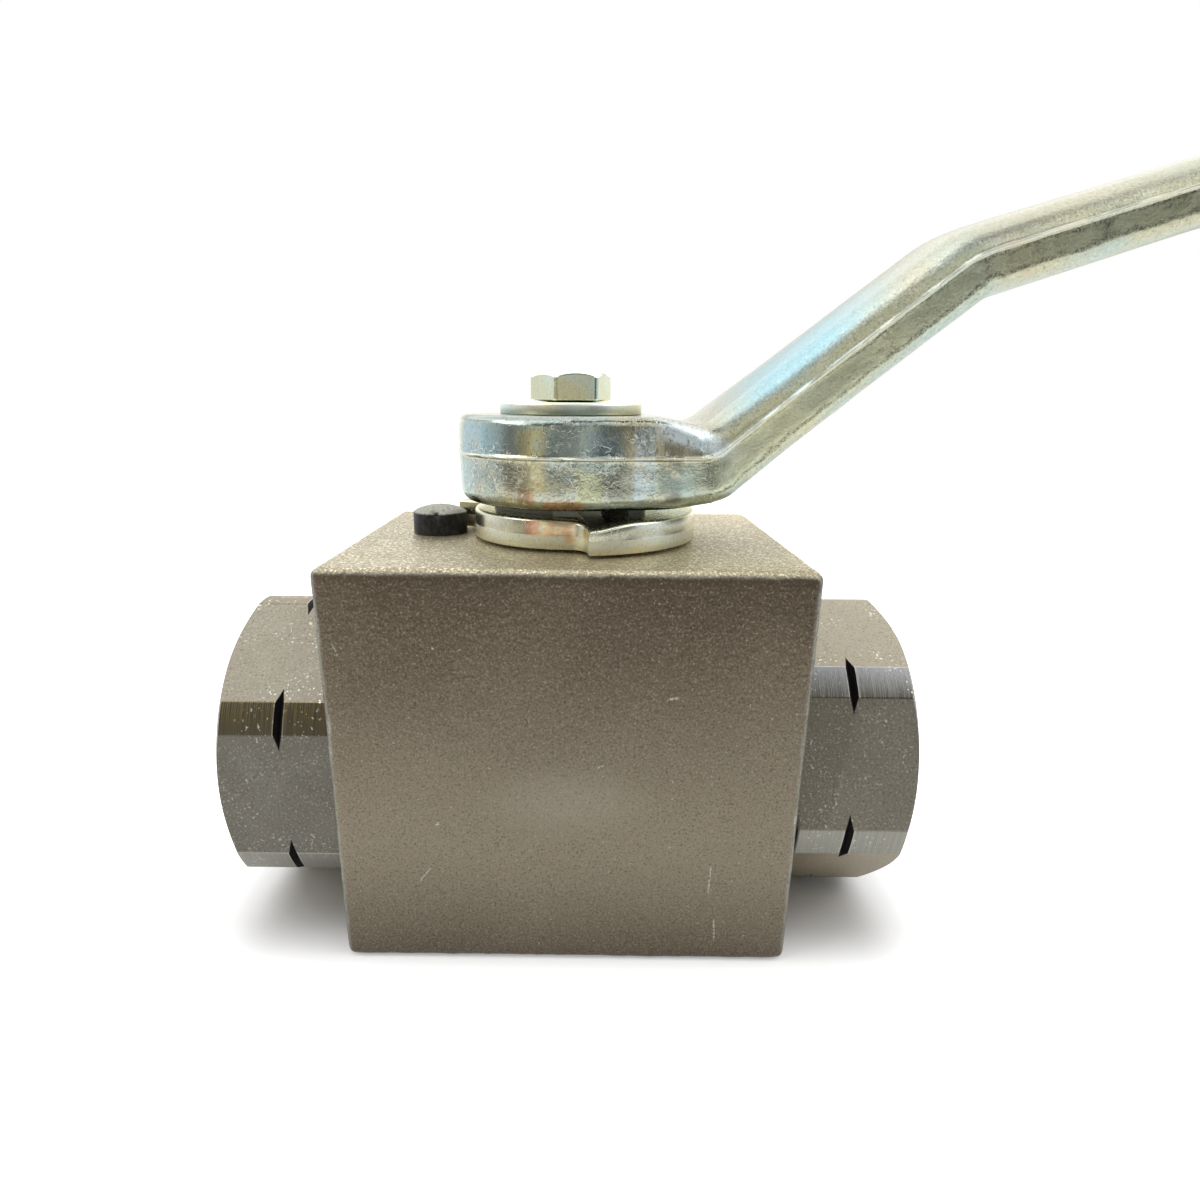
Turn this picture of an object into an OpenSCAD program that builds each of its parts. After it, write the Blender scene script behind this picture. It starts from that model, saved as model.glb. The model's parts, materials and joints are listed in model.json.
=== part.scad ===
// Three-way ball valve, block body, L-bore ball, screwed hexagon port adapters and a cranked lever.
// Frame: origin at the centre of the bottom face, under the stem axis; +X to the right, +Y to the
// rear port, +Z up the stem. The valve is drawn with the left and rear ports joined.

/* [Body] */
// Width of the block, left port face to right port face
body_w = 62; // [54:0.5:90]
// Depth of the block, front to back
body_d = 50; // [46:0.5:80]
// Height of the block
body_h = 56; // [54:0.5:80]
// Radius on every edge of the block
body_edge_r = 1.2; // [0.4:0.1:3]
// Height of the port axes above the bottom face
port_z = 23.4; // [22.8:0.1:24.6]
// Diameter of the threads that hold the port adapters
body_thread_d = 38; // [37.6:0.1:40]

/* [Port adapters] */
// Hexagon size across the flats
hex_af = 41; // [40:0.5:44]
// Diameter to which the hexagon corners are turned
hex_turned_d = 45; // [44:0.1:46]
// How far an adapter stands out of the block
adapter_reach = 17; // [14:0.5:30]
// Width of the 30 degree chamfer on both ends of the hexagon
hex_chamfer = 1.4; // [0.4:0.1:2.5]
// Diameter of the port wall, at the crests of a 3/4 inch taper pipe thread
port_d = 26.7; // [22:0.1:30]
// Depth of the port
port_depth = 16.5; // [12:0.5:28]
// Chamfer at the mouth of a port
port_chamfer = 1; // [0.2:0.1:2]
// Distance of the turned mark groove from the block
mark_offset = 7.3; // [3:0.1:10]
// Width of the turned mark groove
mark_w = 1.1; // [0.5:0.1:2]
// Depth of the turned mark groove
mark_depth = 0.8; // [0.3:0.1:1.1]
// Angle of a hexagon corner of the left adapter above the front
left_corner_angle = 28.8; // [0:0.1:60]
// Angle of a hexagon corner of the right adapter above the front
right_corner_angle = 44.2; // [0:0.1:60]
// Angle of a hexagon corner of the rear adapter above the left
rear_corner_angle = 18; // [0:0.1:60]

/* [Ball and seats] */
// Diameter of the ball
ball_d = 35; // [34.6:0.1:36.4]
// Diameter of the flow passage
flow_d = 20; // [16:0.1:20.4]
// Radial wall of a seat ring
seat_wall = 2.05; // [1.6:0.05:2.1]
// Diameter of the adapter nose that carries a seat ring
nose_d = 26.8; // [26.4:0.1:28]

/* [Stem] */
// Diameter of the stem
stem_d = 18; // [16.5:0.1:19]
// Width across the flats of the square on the stem
stem_square = 14; // [13:0.1:15]
// Diameter of the collar that keeps the stem in the body
collar_d = 21.4; // [20.6:0.1:24]
// Thickness of the collar
collar_t = 2.85; // [2:0.05:4]
// Thickness of the thrust washer on the collar
thrust_t = 1.1; // [0.6:0.05:2]
// Cord diameter of the stem O-rings
stem_cord_d = 2; // [1.5:0.1:2.2]
// Thickness of the tongue that turns the ball
tongue_t = 8; // [6:0.1:10]
// Length of the tongue
tongue_l = 16; // [12:0.1:17]

/* [Stop] */
// Thickness of the stop disc
disc_t = 4; // [3:0.1:6]
// Diameter of the stop disc outside its notch
disc_d = 36.4; // [34:0.1:40]
// Diameter of the stop disc at the bottom of its notch
notch_d = 28; // [26:0.1:30]
// Radius in the corner of the notch
notch_r = 2.5; // [1:0.1:3]
// Turn between the two positions of the lever
travel = 90; // [60:1:120]
// Play left at the far stop
far_play = 3.5; // [0.5:0.1:8]
// Diameter of the stop pin
pin_d = 8; // [6:0.1:9]
// Distance of the stop pin from the stem axis
pin_offset = 19.8; // [19:0.1:22]
// Angle of the stop pin, counted from the right side towards the back
pin_angle = 173.9; // [160:0.1:190]
// Height of the stop pin above the block
pin_rise = 4.2; // [3:0.1:6]
// Depth of the stop pin in the block
pin_sunk = 8; // [5:0.5:12]

/* [Retaining ring] */
// Thickness of the retaining ring
ring_t = 1.1; // [0.8:0.05:1.6]
// Diameter over the lugs of the retaining ring
ring_lug_d = 24; // [23:0.1:26]
// Angle of the middle of the gap in the retaining ring
ring_gap_angle = 294; // [0:1:360]
// Opening of the retaining ring
ring_gap = 36; // [25:1:50]

/* [Lever] */
// Diameter of the lever hub
hub_d = 32; // [30:0.5:40]
// Thickness of the lever hub
hub_t = 11.8; // [9:0.1:16]
// Radius on the edges of the lever hub
hub_edge_r = 2; // [0.5:0.1:3.5]
// Width of the lever where it leaves the hub
neck_w = 29.7; // [26:0.1:31]
// Width of the arm
arm_w = 20; // [14:0.1:24]
// Width of the grip
grip_w = 22; // [16:0.1:28]
// Thickness of the grip
grip_t = 7; // [6:0.1:10]
// Rise of the arm
arm_slope = 38; // [10:0.1:50]
// Rise of the grip
grip_slope = 17; // [0:0.1:35]
// Distance of the first bend from the stem axis
bend_1_x = 19.1; // [18:0.1:28]
// Distance of the second bend from the stem axis
bend_2_x = 50.4; // [40:0.1:80]
// Reach of the lever from the stem axis
lever_reach = 175; // [120:1:240]

/* [Bolt] */
// Thread diameter of the lever bolt
bolt_d = 6; // [5:0.1:8]
// Size of the bolt head across its flats
bolt_af = 10; // [9:0.1:13]
// Height of the bolt head
bolt_head_h = 3.9; // [3:0.1:6]
// Length of the bolt below its head
bolt_l = 16; // [10:0.5:18]
// Turn of the bolt head
bolt_turn = 9.5; // [0:0.5:60]
// Diameter of the washer under the bolt
washer_d = 20; // [19:0.1:26]
// Thickness of the washer
washer_t = 1.6; // [1:0.1:3]

/* [Hidden] */
$fn = 96;

// Overshoot of a cut past the face it opens
cut = 1;
// Radial clearance of a turned fit that doesn't move
fixed_gap = 0.02;
// Radial clearance of a fit that turns or slides
running_gap = 0.05;
// Clearance of the ball in its seats
seat_gap = 0.1;
// Clearance of pieces that pass each other
free_gap = 0.3;

ball_r = ball_d / 2;
flow_r = flow_d / 2;
cavity_r = ball_r + free_gap;
// Inner end of an adapter's thread, counted from the middle of the valve
thread_in = ball_r + 2;
body_thread_r = body_thread_d / 2;
nose_r = nose_d / 2;
// Front of the nose and floor of its seat pocket
nose_z = ball_r - 3.5;
pocket_z = ball_r - 0.5;
seat_in_r = flow_r + free_gap;
seat_out_r = seat_in_r + seat_wall;
// Front of a seat ring, set back so that neighbouring seats pass each other
seat_z = seat_out_r + free_gap;
seat_cord_d = 1.24;
seat_groove_depth = 1.2;
adapter_cord_d = 1.8;
adapter_groove_w = 2.3;
adapter_groove_step = 0.3;
mouth_cone_h = 1.5;

// Heights along the stem, from the inside out
collar_z = port_z + ball_r + 0.5;
thrust_z = collar_z + collar_t + running_gap;
counterbore_z = thrust_z + thrust_t + fixed_gap;
counterbore_r = collar_d / 2 + free_gap;
stem_groove_depth = stem_cord_d;
stem_groove_w = 1.2 * stem_cord_d;
// The O-ring grooves share out the land that they leave between the counterbore and the top of the block
seal_land = body_h - counterbore_z - 2 * stem_groove_w;
seal_lower_z = counterbore_z + 0.5 * stem_groove_w + 0.23 * seal_land;
seal_upper_z = counterbore_z + 1.5 * stem_groove_w + 0.42 * seal_land;
disc_z = body_h + 0.4;
ring_z = disc_z + disc_t;
hub_z = ring_z + ring_t;
washer_z = hub_z + hub_t;
bolt_z = washer_z + washer_t;
stem_top = washer_z - 0.7;
stem_r = stem_d / 2;
tongue_z = port_z + ball_r - 4.4;
slot_z = ball_r - 4.5;
ring_seat_r = stem_r - 0.75;
stem_bore_z = bolt_z - bolt_l - 2;

// Notch of the stop disc: the angle at which the pin meets a corner of the disc
disc_r = disc_d / 2;
notch_floor_r = notch_d / 2;
pin_r = pin_d / 2;
pin_reach = acos((pow(pin_offset, 2) + pow(disc_r, 2) - pow(pin_r, 2)) / (2 * pin_offset * disc_r));
near_play = 0.4;
notch_from = pin_angle - pin_reach - near_play;
notch_to = pin_angle + pin_reach + travel + far_play;

// The lever's middle line: flat out of the hub, up the arm, then along the grip.
// Lengths s count along it, with sharp corners, from the stem axis.
lever_start = 2;
neck_drop = 1;
neck_t = hub_t - 2 * neck_drop;
shoulder_len = 42;
thinning_len = 139;
grip_from = 74;
grip_to = 114;
end_round = 9;
lever_mid_z = hub_z + hub_t / 2;
bend_2_z = lever_mid_z + (bend_2_x - bend_1_x) * tan(arm_slope);
lever_end_z = bend_2_z + (lever_reach - bend_2_x) * tan(grip_slope);
corner_2_s = bend_1_x + (bend_2_x - bend_1_x) / cos(arm_slope);
lever_s = corner_2_s + (lever_reach - bend_2_x) / cos(grip_slope);

// Radius of each bend on the middle line, and half the length that it takes
bend_1_r = 5.2;
bend_1_half = 3.2;
bend_2_r = 11;
bend_2_half = 4.5;
// How much tighter the first bend gets for each millimetre above the middle line
bend_1_tightens = 0.15;
bend_2_turn = arm_slope - grip_slope;
s1 = bend_1_x - bend_1_half;
s2 = bend_1_x + bend_1_half;
s3 = corner_2_s - bend_2_half;
s4 = corner_2_s + bend_2_half;

// Point [x, z] at distance d along direction a from p
function along(p, a, d) = p + d * [cos(a), sin(a)];

// Corners of the two bends and end of the lever at height n above the middle line
function corner_1(n) = [bend_1_x - n * tan(arm_slope / 2), lever_mid_z + n];
function corner_2(n) =
    along([bend_2_x, bend_2_z], arm_slope - bend_2_turn / 2 + 90, n / cos(bend_2_turn / 2));
function lever_tip(n) = along([lever_reach, lever_end_z], grip_slope + 90, n);
function radius_1(n) = bend_1_r - bend_1_tightens * n;
function radius_2(n) = bend_2_r + n;

// Point [x, z] of the lever at length s and height n above its middle line
function lever_point(s, n) =
    let (r1 = radius_1(n), t1 = r1 * tan(arm_slope / 2), r2 = radius_2(n), t2 = r2 * tan(bend_2_turn / 2),
        flat_end = corner_1(n) - [t1, 0], arm_from = along(corner_1(n), arm_slope, t1),
        arm_end = along(corner_2(n), arm_slope, -t2), grip_start = along(corner_2(n), grip_slope, t2))
    s < s1 ? let (share = (s - lever_start) / (s1 - lever_start))
        [lever_start + (flat_end[0] - lever_start) * share, flat_end[1]] :
    s < s2 ? let (a = arm_slope * (s - s1) / (s2 - s1)) flat_end + r1 * [sin(a), 1 - cos(a)] :
    s < s3 ? arm_from + (arm_end - arm_from) * (s - s2) / (s3 - s2) :
    s < s4 ? let (a = arm_slope + 90 - bend_2_turn * (s - s3) / (s4 - s3))
        along(along(arm_end, arm_slope - 90, r2), a, r2) :
    grip_start + (lever_tip(n) - grip_start) * (s - s4) / (lever_s - s4);

// Rises smoothly from 0 to 1 as t goes from 0 to 1
function smooth(t) = let (u = max(0, min(1, t))) u * u * (3 - 2 * u);

function lever_half_w(s) = neck_w / 2 + (arm_w - neck_w) / 2 * smooth((s - lever_start) / shoulder_len)
    + (grip_w - arm_w) / 2 * smooth((s - grip_from) / (grip_to - grip_from));
function lever_half_t(s) = neck_t / 2 + (grip_t - neck_t) / 2 * smooth((s - lever_start) / thinning_len);
// Shrinks the section over the last stretch, as a quarter circle
end_from = lever_s - end_round;
function lever_end(s) = s < end_from ? 1 : sqrt(max(0, 1 - pow((s - end_from) / end_round, 2)));

// Section points: a rounded rectangle with flatter top and bottom than an ellipse
section_power = 3.2;
section_sides = 32;
function signed_power(v, p) = sign(v) * pow(abs(v), 2 / p);
function section_point(k) = let (a = (k + 0.5) * 360 / section_sides)
    [signed_power(cos(a), section_power), signed_power(sin(a), section_power)];

// Stations along the lever: close in the bends and at the round end
neck_stations = [for (k = [0:3]) lever_start + (s1 - lever_start) * k / 4];
bend_1_stations = [for (k = [0:5]) s1 + (s2 - s1) * k / 6];
arm_stations = [for (k = [0:6]) s2 + (s3 - s2) * k / 7];
bend_2_stations = [for (k = [0:4]) s3 + (s4 - s3) * k / 5];
grip_stations = [for (k = [0:9]) s4 + (end_from - s4) * k / 10];
end_stations = [for (k = [0:6]) end_from + end_round * sin(k * 12)];
stations = concat(neck_stations, bend_1_stations, arm_stations, bend_2_stations,
    grip_stations, end_stations);

// Shapes that several pieces share
module at_left() translate([0, 0, port_z]) rotate([0, -90, 0]) children();
module at_right() translate([0, 0, port_z]) rotate([0, 90, 0]) children();
module at_rear() translate([0, 0, port_z]) rotate([-90, 0, 0]) children();

// Rectangle centred on the origin with round corners
module round_rectangle(w, h, r) {
    square([w - 2 * r, h], center = true);
    square([w, h - 2 * r], center = true);
    for (x = [-1, 1], y = [-1, 1])
        translate([x * (w / 2 - r), y * (h / 2 - r)]) circle(r);
}

// Half section of a round plate with round edges, standing on the X axis
module plate_profile(r, h, edge) {
    square([r - edge, h]);
    translate([0, edge]) square([r, h - 2 * edge]);
    for (z = [edge, h - edge])
        translate([r - edge, z]) circle(edge, $fn = 32);
}

// Flat ring from r1 to r2
module ring(r1, r2, h) {
    difference() {
        cylinder(r = r2, h = h);
        translate([0, 0, -cut]) cylinder(r = r1, h = h + 2 * cut);
    }
}

// O-ring with its middle circle at radius r, centred on the origin
module o_ring(r, cord_d) rotate_extrude() translate([r, 0]) circle(cord_d / 2, $fn = 32);

// The square of the stem with its corners turned round
module stem_square_2d(gap) {
    intersection() {
        square(stem_square + 2 * gap, center = true);
        circle(stem_r + gap);
    }
}

// The block: everything below is cut from it
module block() {
    intersection() {
        translate([0, 0, -cut]) linear_extrude(body_h + 2 * cut) round_rectangle(body_w, body_d, body_edge_r);
        translate([0, body_d / 2 + cut, body_h / 2]) rotate([90, 0, 0])
            linear_extrude(body_d + 2 * cut) round_rectangle(body_w, body_h, body_edge_r);
        translate([-body_w / 2 - cut, 0, body_h / 2]) rotate([90, 0, 90])
            linear_extrude(body_w + 2 * cut) round_rectangle(body_d, body_h, body_edge_r);
    }
}

module at_pin() rotate([0, 0, pin_angle]) translate([pin_offset, 0, 0]) children();

module body() {
    color([0.34, 0.30, 0.27])
    difference() {
        block();
        at_right() translate([0, 0, -thread_in]) cylinder(r = cavity_r, h = 2 * thread_in);
        at_left() translate([0, 0, thread_in]) cylinder(r = body_thread_r, h = body_w);
        at_right() translate([0, 0, thread_in]) cylinder(r = body_thread_r, h = body_w);
        at_rear() translate([0, 0, thread_in]) cylinder(r = body_thread_r, h = body_d);
        at_rear() cylinder(r = nose_r + free_gap, h = thread_in + cut);
        translate([0, 0, port_z]) cylinder(r = counterbore_r, h = counterbore_z - port_z);
        translate([0, 0, port_z]) cylinder(r = stem_r + running_gap, h = body_h);
        at_pin() translate([0, 0, body_h - pin_sunk]) cylinder(r = pin_r + fixed_gap, h = pin_sunk + cut);
    }
}

// Outside of an adapter's hexagon, turned round at the corners, with its mark groove
module hex_turned_profile(shoulder) {
    r = hex_turned_d / 2;
    top = shoulder + adapter_reach;
    rise = hex_chamfer * tan(30);
    mark = shoulder + mark_offset;
    polygon([[0, shoulder], [r - hex_chamfer, shoulder], [r, shoulder + rise],
        [r, mark], [r - mark_depth, mark + mark_w / 2], [r, mark + mark_w],
        [r, top - rise], [r - hex_chamfer, top], [0, top]]);
}

module adapter(shoulder, hex_turn) {
    top = shoulder + adapter_reach;
    port_floor = top - port_depth;
    male_r = body_thread_r - running_gap;
    groove_r = body_thread_r - adapter_cord_d - running_gap;
    difference() {
        union() {
            intersection() {
                rotate([0, 0, hex_turn]) translate([0, 0, shoulder])
                    cylinder(r = hex_af / 2 / cos(30), h = adapter_reach, $fn = 6);
                rotate_extrude() hex_turned_profile(shoulder);
            }
            translate([0, 0, thread_in]) cylinder(r = male_r, h = shoulder - thread_in + cut);
            translate([0, 0, nose_z]) cylinder(r = nose_r, h = thread_in - nose_z + cut);
        }
        translate([0, 0, nose_z - cut]) cylinder(r = flow_r, h = top - nose_z + 2 * cut);
        translate([0, 0, nose_z - cut]) cylinder(r = seat_out_r + running_gap, h = pocket_z - nose_z + cut);
        translate([0, 0, pocket_z - cut])
            ring(seat_out_r - seat_cord_d, seat_out_r + fixed_gap, seat_groove_depth + cut);
        translate([0, 0, shoulder - adapter_groove_step - adapter_groove_w])
            ring(groove_r, male_r + cut, adapter_groove_w);
        translate([0, 0, port_floor]) cylinder(r = port_d / 2, h = port_depth + cut);
        translate([0, 0, port_floor - mouth_cone_h])
            cylinder(r1 = flow_r, r2 = port_d / 2, h = mouth_cone_h);
        translate([0, 0, top - port_chamfer])
            cylinder(r1 = port_d / 2, r2 = port_d / 2 + port_chamfer + cut, h = port_chamfer + cut);
    }
}

module adapter_o_ring(shoulder) {
    translate([0, 0, shoulder - adapter_groove_step - adapter_groove_w / 2])
        o_ring(body_thread_r - adapter_cord_d / 2 - running_gap / 2, adapter_cord_d);
}

module seat() {
    difference() {
        translate([0, 0, seat_z]) ring(seat_in_r, seat_out_r, pocket_z - seat_z);
        sphere(ball_r + seat_gap);
    }
}

module seat_o_ring() {
    translate([0, 0, pocket_z + seat_cord_d / 2 - fixed_gap])
        o_ring(seat_out_r - seat_cord_d / 2, seat_cord_d - 2 * fixed_gap);
}

adapter_colour = [0.52, 0.53, 0.50];
seal_colour = [0.07, 0.07, 0.08];
seat_colour = [0.85, 0.84, 0.78];
zinc_colour = [0.68, 0.71, 0.66];
bright_steel_colour = [0.62, 0.63, 0.64];

module adapter_left() color(adapter_colour) at_left() adapter(body_w / 2, left_corner_angle - 90);
module adapter_right() color(adapter_colour) at_right() adapter(body_w / 2, 90 - right_corner_angle);
module adapter_rear() color(adapter_colour) at_rear() adapter(body_d / 2, -rear_corner_angle);
module adapter_o_ring_left() color(seal_colour) at_left() adapter_o_ring(body_w / 2);
module adapter_o_ring_right() color(seal_colour) at_right() adapter_o_ring(body_w / 2);
module adapter_o_ring_rear() color(seal_colour) at_rear() adapter_o_ring(body_d / 2);
module seat_left() color(seat_colour) at_left() seat();
module seat_right() color(seat_colour) at_right() seat();
module seat_rear() color(seat_colour) at_rear() seat();
module seat_o_ring_left() color(seal_colour) at_left() seat_o_ring();
module seat_o_ring_right() color(seal_colour) at_right() seat_o_ring();
module seat_o_ring_rear() color(seal_colour) at_rear() seat_o_ring();

// The ball: one leg of its bore to the left port, the other to the rear port
module ball() {
    color([0.80, 0.81, 0.83])
    difference() {
        translate([0, 0, port_z]) sphere(ball_r);
        at_left() cylinder(r = flow_r, h = ball_d);
        at_rear() cylinder(r = flow_r, h = ball_d);
        translate([0, 0, port_z]) sphere(flow_r);
        translate([-ball_d / 2 - cut, -tongue_t / 2 - running_gap, port_z + slot_z])
            cube([ball_d + 2 * cut, tongue_t + 2 * running_gap, ball_r]);
    }
}

module stem() {
    color(bright_steel_colour)
    difference() {
        union() {
            translate([-tongue_l / 2, -tongue_t / 2, tongue_z])
                cube([tongue_l, tongue_t, collar_z - tongue_z + collar_t / 2]);
            translate([0, 0, collar_z]) cylinder(r = collar_d / 2, h = collar_t);
            translate([0, 0, collar_z]) cylinder(r = stem_r, h = disc_z - collar_z);
            translate([0, 0, disc_z - cut]) linear_extrude(stem_top - disc_z + cut) stem_square_2d(0);
        }
        for (z = [seal_lower_z, seal_upper_z])
            translate([0, 0, z - stem_groove_w / 2])
                ring(stem_r - stem_groove_depth, stem_r + cut, stem_groove_w);
        translate([0, 0, ring_z - fixed_gap]) ring(ring_seat_r, stem_r + cut, ring_t + 2 * fixed_gap);
        translate([0, 0, stem_bore_z]) cylinder(r = bolt_d / 2 + fixed_gap, h = stem_top);
    }
}

module stem_thrust_washer() {
    color(seat_colour) translate([0, 0, thrust_z])
        ring(stem_r + 3 * running_gap, collar_d / 2, thrust_t);
}

module stem_seal(z) translate([0, 0, z]) o_ring(stem_r - stem_cord_d / 2 + fixed_gap / 2, stem_cord_d);
module stem_o_ring_lower() color(seal_colour) stem_seal(seal_lower_z);
module stem_o_ring_upper() color(seal_colour) stem_seal(seal_upper_z);

module stop_pin() {
    dome_h = 1;
    dome_r = (pow(pin_r, 2) + pow(dome_h, 2)) / (2 * dome_h);
    color([0.06, 0.06, 0.07])
    at_pin() intersection() {
        translate([0, 0, body_h - pin_sunk]) cylinder(r = pin_r, h = pin_sunk + pin_rise);
        translate([0, 0, body_h + pin_rise - dome_r]) sphere(dome_r);
    }
}

// Wedge that covers the angles from a1 to a2, up to 180 degrees, out to radius r
module wedge(a1, a2, r) {
    mid = (a1 + a2) / 2;
    polygon([[0, 0], r * [cos(a1), sin(a1)], 2 * r * [cos(mid), sin(mid)], r * [cos(a2), sin(a2)]]);
}

// What is left in the far corner of the notch, so that the corner is round
module notch_fillet() {
    centre_r = notch_floor_r + notch_r;
    side = asin(notch_r / centre_r);
    rotate(notch_to - side) difference() {
        polygon([[notch_floor_r - cut, -0.01], [centre_r, 0],
            centre_r * [cos(side), sin(side)], (notch_floor_r - cut) * [cos(side), sin(side)]]);
        translate([centre_r, 0]) circle(notch_r);
    }
}

module stop_disc() {
    color(zinc_colour)
    translate([0, 0, disc_z]) linear_extrude(disc_t) difference() {
        union() {
            circle(notch_floor_r);
            difference() {
                circle(disc_r);
                wedge(notch_from, notch_to, 2 * disc_d);
            }
            notch_fillet();
        }
        stem_square_2d(running_gap);
    }
}

// Spring ring in the grooves of the stem's corners, with a lug and a plier hole at each end
module retaining_ring() {
    lug_r = ring_lug_d / 2;
    lug_w = 3.4;
    lug_turn = (ring_gap + lug_w / lug_r * 180 / PI) / 2;
    rim_r = lug_r - 0.9;
    hole_r = 1;
    color([0.20, 0.20, 0.20])
    translate([0, 0, ring_z]) rotate([0, 0, ring_gap_angle]) linear_extrude(ring_t) difference() {
        union() {
            circle(rim_r);
            for (side = [-1, 1]) rotate(side * lug_turn)
                translate([0, -lug_w / 2]) square([lug_r, lug_w]);
        }
        circle(ring_seat_r + fixed_gap);
        polygon([[0, 0], 2 * lug_r * [cos(ring_gap / 2), -sin(ring_gap / 2)],
            2 * lug_r * [cos(ring_gap / 2), sin(ring_gap / 2)]]);
        for (side = [-1, 1]) rotate(side * lug_turn)
            translate([(lug_r + ring_seat_r) / 2 + 0.2, 0]) circle(hole_r);
    }
}

// The forged arm: one closed skin through all its stations
module lever_arm() {
    shape = [for (k = [0:section_sides - 1]) section_point(k)];
    points = [for (s = stations, q = shape)
        let (p = lever_point(s, lever_half_t(s) * lever_end(s) * q[1]))
            [p[0], lever_half_w(s) * lever_end(s) * q[0], p[1]]];
    n = section_sides;
    last = len(stations) - 1;
    sides = [for (i = [0:last - 1], k = [0:n - 1])
        each [[i * n + k, (i + 1) * n + k, i * n + (k + 1) % n],
            [i * n + (k + 1) % n, (i + 1) * n + k, (i + 1) * n + (k + 1) % n]]];
    caps = [[for (k = [0:n - 1]) k], [for (k = [n - 1:-1:0]) last * n + k]];
    polyhedron(points, concat(sides, caps));
}

module lever() {
    color(zinc_colour)
    difference() {
        union() {
            translate([0, 0, hub_z]) rotate_extrude($fn = 64) plate_profile(hub_d / 2, hub_t, hub_edge_r);
            lever_arm();
        }
        translate([0, 0, hub_z - cut]) linear_extrude(hub_t + 2 * cut) stem_square_2d(running_gap);
    }
}

module washer()
    color(zinc_colour) translate([0, 0, washer_z]) ring(bolt_d / 2 + free_gap, washer_d / 2, washer_t);

module bolt() {
    head_r = bolt_af / 2 / cos(30);
    crown = 0.35;
    outer_r = head_r + cut;
    crown_drop = (outer_r - bolt_af / 2 + crown) * tan(30);
    color(zinc_colour)
    union() {
        intersection() {
            rotate([0, 0, bolt_turn]) translate([0, 0, bolt_z]) cylinder(r = head_r, h = bolt_head_h, $fn = 6);
            translate([0, 0, bolt_z - cut]) rotate_extrude() polygon([[0, 0], [outer_r, 0],
                [outer_r, cut + bolt_head_h - crown_drop], [bolt_af / 2 - crown, cut + bolt_head_h],
                [0, cut + bolt_head_h]]);
        }
        translate([0, 0, bolt_z - bolt_l]) cylinder(r = bolt_d / 2, h = bolt_l + crown);
    }
}

body();
adapter_left();
adapter_right();
adapter_rear();
adapter_o_ring_left();
adapter_o_ring_right();
adapter_o_ring_rear();
seat_left();
seat_right();
seat_rear();
seat_o_ring_left();
seat_o_ring_right();
seat_o_ring_rear();
ball();
stem();
stem_thrust_washer();
stem_o_ring_lower();
stem_o_ring_upper();
stop_pin();
stop_disc();
retaining_ring();
lever();
washer();
bolt();
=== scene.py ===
import json
from math import asin, atan2, cos, degrees, dist, hypot, pi, radians, sin, sqrt, tan

import bmesh
import bpy
from mathutils import Matrix, Vector, noise

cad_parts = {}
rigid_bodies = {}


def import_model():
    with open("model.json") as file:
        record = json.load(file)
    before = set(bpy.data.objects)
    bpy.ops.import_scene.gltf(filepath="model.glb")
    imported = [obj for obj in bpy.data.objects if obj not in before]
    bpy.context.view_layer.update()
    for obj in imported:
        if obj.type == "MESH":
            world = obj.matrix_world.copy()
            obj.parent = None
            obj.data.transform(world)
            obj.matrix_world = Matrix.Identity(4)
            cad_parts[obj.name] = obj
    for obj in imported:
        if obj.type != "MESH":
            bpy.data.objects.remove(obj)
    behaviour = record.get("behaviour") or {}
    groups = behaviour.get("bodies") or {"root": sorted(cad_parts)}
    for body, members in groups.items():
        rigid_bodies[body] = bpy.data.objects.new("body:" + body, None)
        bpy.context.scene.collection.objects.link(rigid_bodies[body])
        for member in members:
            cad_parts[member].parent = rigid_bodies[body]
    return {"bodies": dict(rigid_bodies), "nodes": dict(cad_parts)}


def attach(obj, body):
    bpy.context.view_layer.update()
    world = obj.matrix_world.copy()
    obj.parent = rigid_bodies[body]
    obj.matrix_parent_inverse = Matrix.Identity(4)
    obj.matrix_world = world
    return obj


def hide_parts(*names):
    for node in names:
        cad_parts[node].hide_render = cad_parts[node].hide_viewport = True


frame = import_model()
for stray in [o for o in bpy.data.objects if o not in {*frame["nodes"].values(), *frame["bodies"].values()}]:
    bpy.data.objects.remove(stray)
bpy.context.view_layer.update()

# The valve's lengths are in millimetres, and meshes and materials turn them into metres
MM = 0.001
BLOCK = (62.0, 50.0, 56.0)
PORT_Z = 23.4
ADAPTER_REACH = 17.0
HEX_FLATS = 41.0
HEX_TURNED_R = 22.5
END_R = 20.4
MARK_FROM = 7.3
MARK_W = 1.1
MARK_DEPTH = 0.8
PIN_OUT = 19.8
PIN_ANGLE = radians(173.9)
PIN_AT = (PIN_OUT * cos(PIN_ANGLE), PIN_OUT * sin(PIN_ANGLE))
PIN_R = 4.0
PIN_DEEP = 8.0
STEM_HOLE_R = 9.05
SQUARE_HALF = 7.05


# Meshes

def new_object(name, points, faces, unit=MM):
    """An object with a mesh from points, which count in the given unit."""
    mesh = bpy.data.meshes.new(name)
    mesh.from_pydata([(x * unit, y * unit, z * unit) for x, y, z in points], [], faces)
    made = bpy.data.objects.new(name, mesh)
    bpy.context.scene.collection.objects.link(made)
    return made


def add_piece(name, points, faces, material, body, replaces=(), sharp=40.0, crest=()):
    """Makes a piece of the valve, shades it smooth and lets it ride on its body.
    crest gives each point a number that the material can read."""
    piece = new_object(name, points, faces)
    if crest:
        piece.data.attributes.new("crest", "FLOAT", "POINT").data.foreach_set("value", crest)
    weld(piece)
    shade(piece, sharp)
    piece.data.materials.append(material)
    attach(piece, body)
    if replaces:
        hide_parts(*replaces)
    return piece


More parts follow.
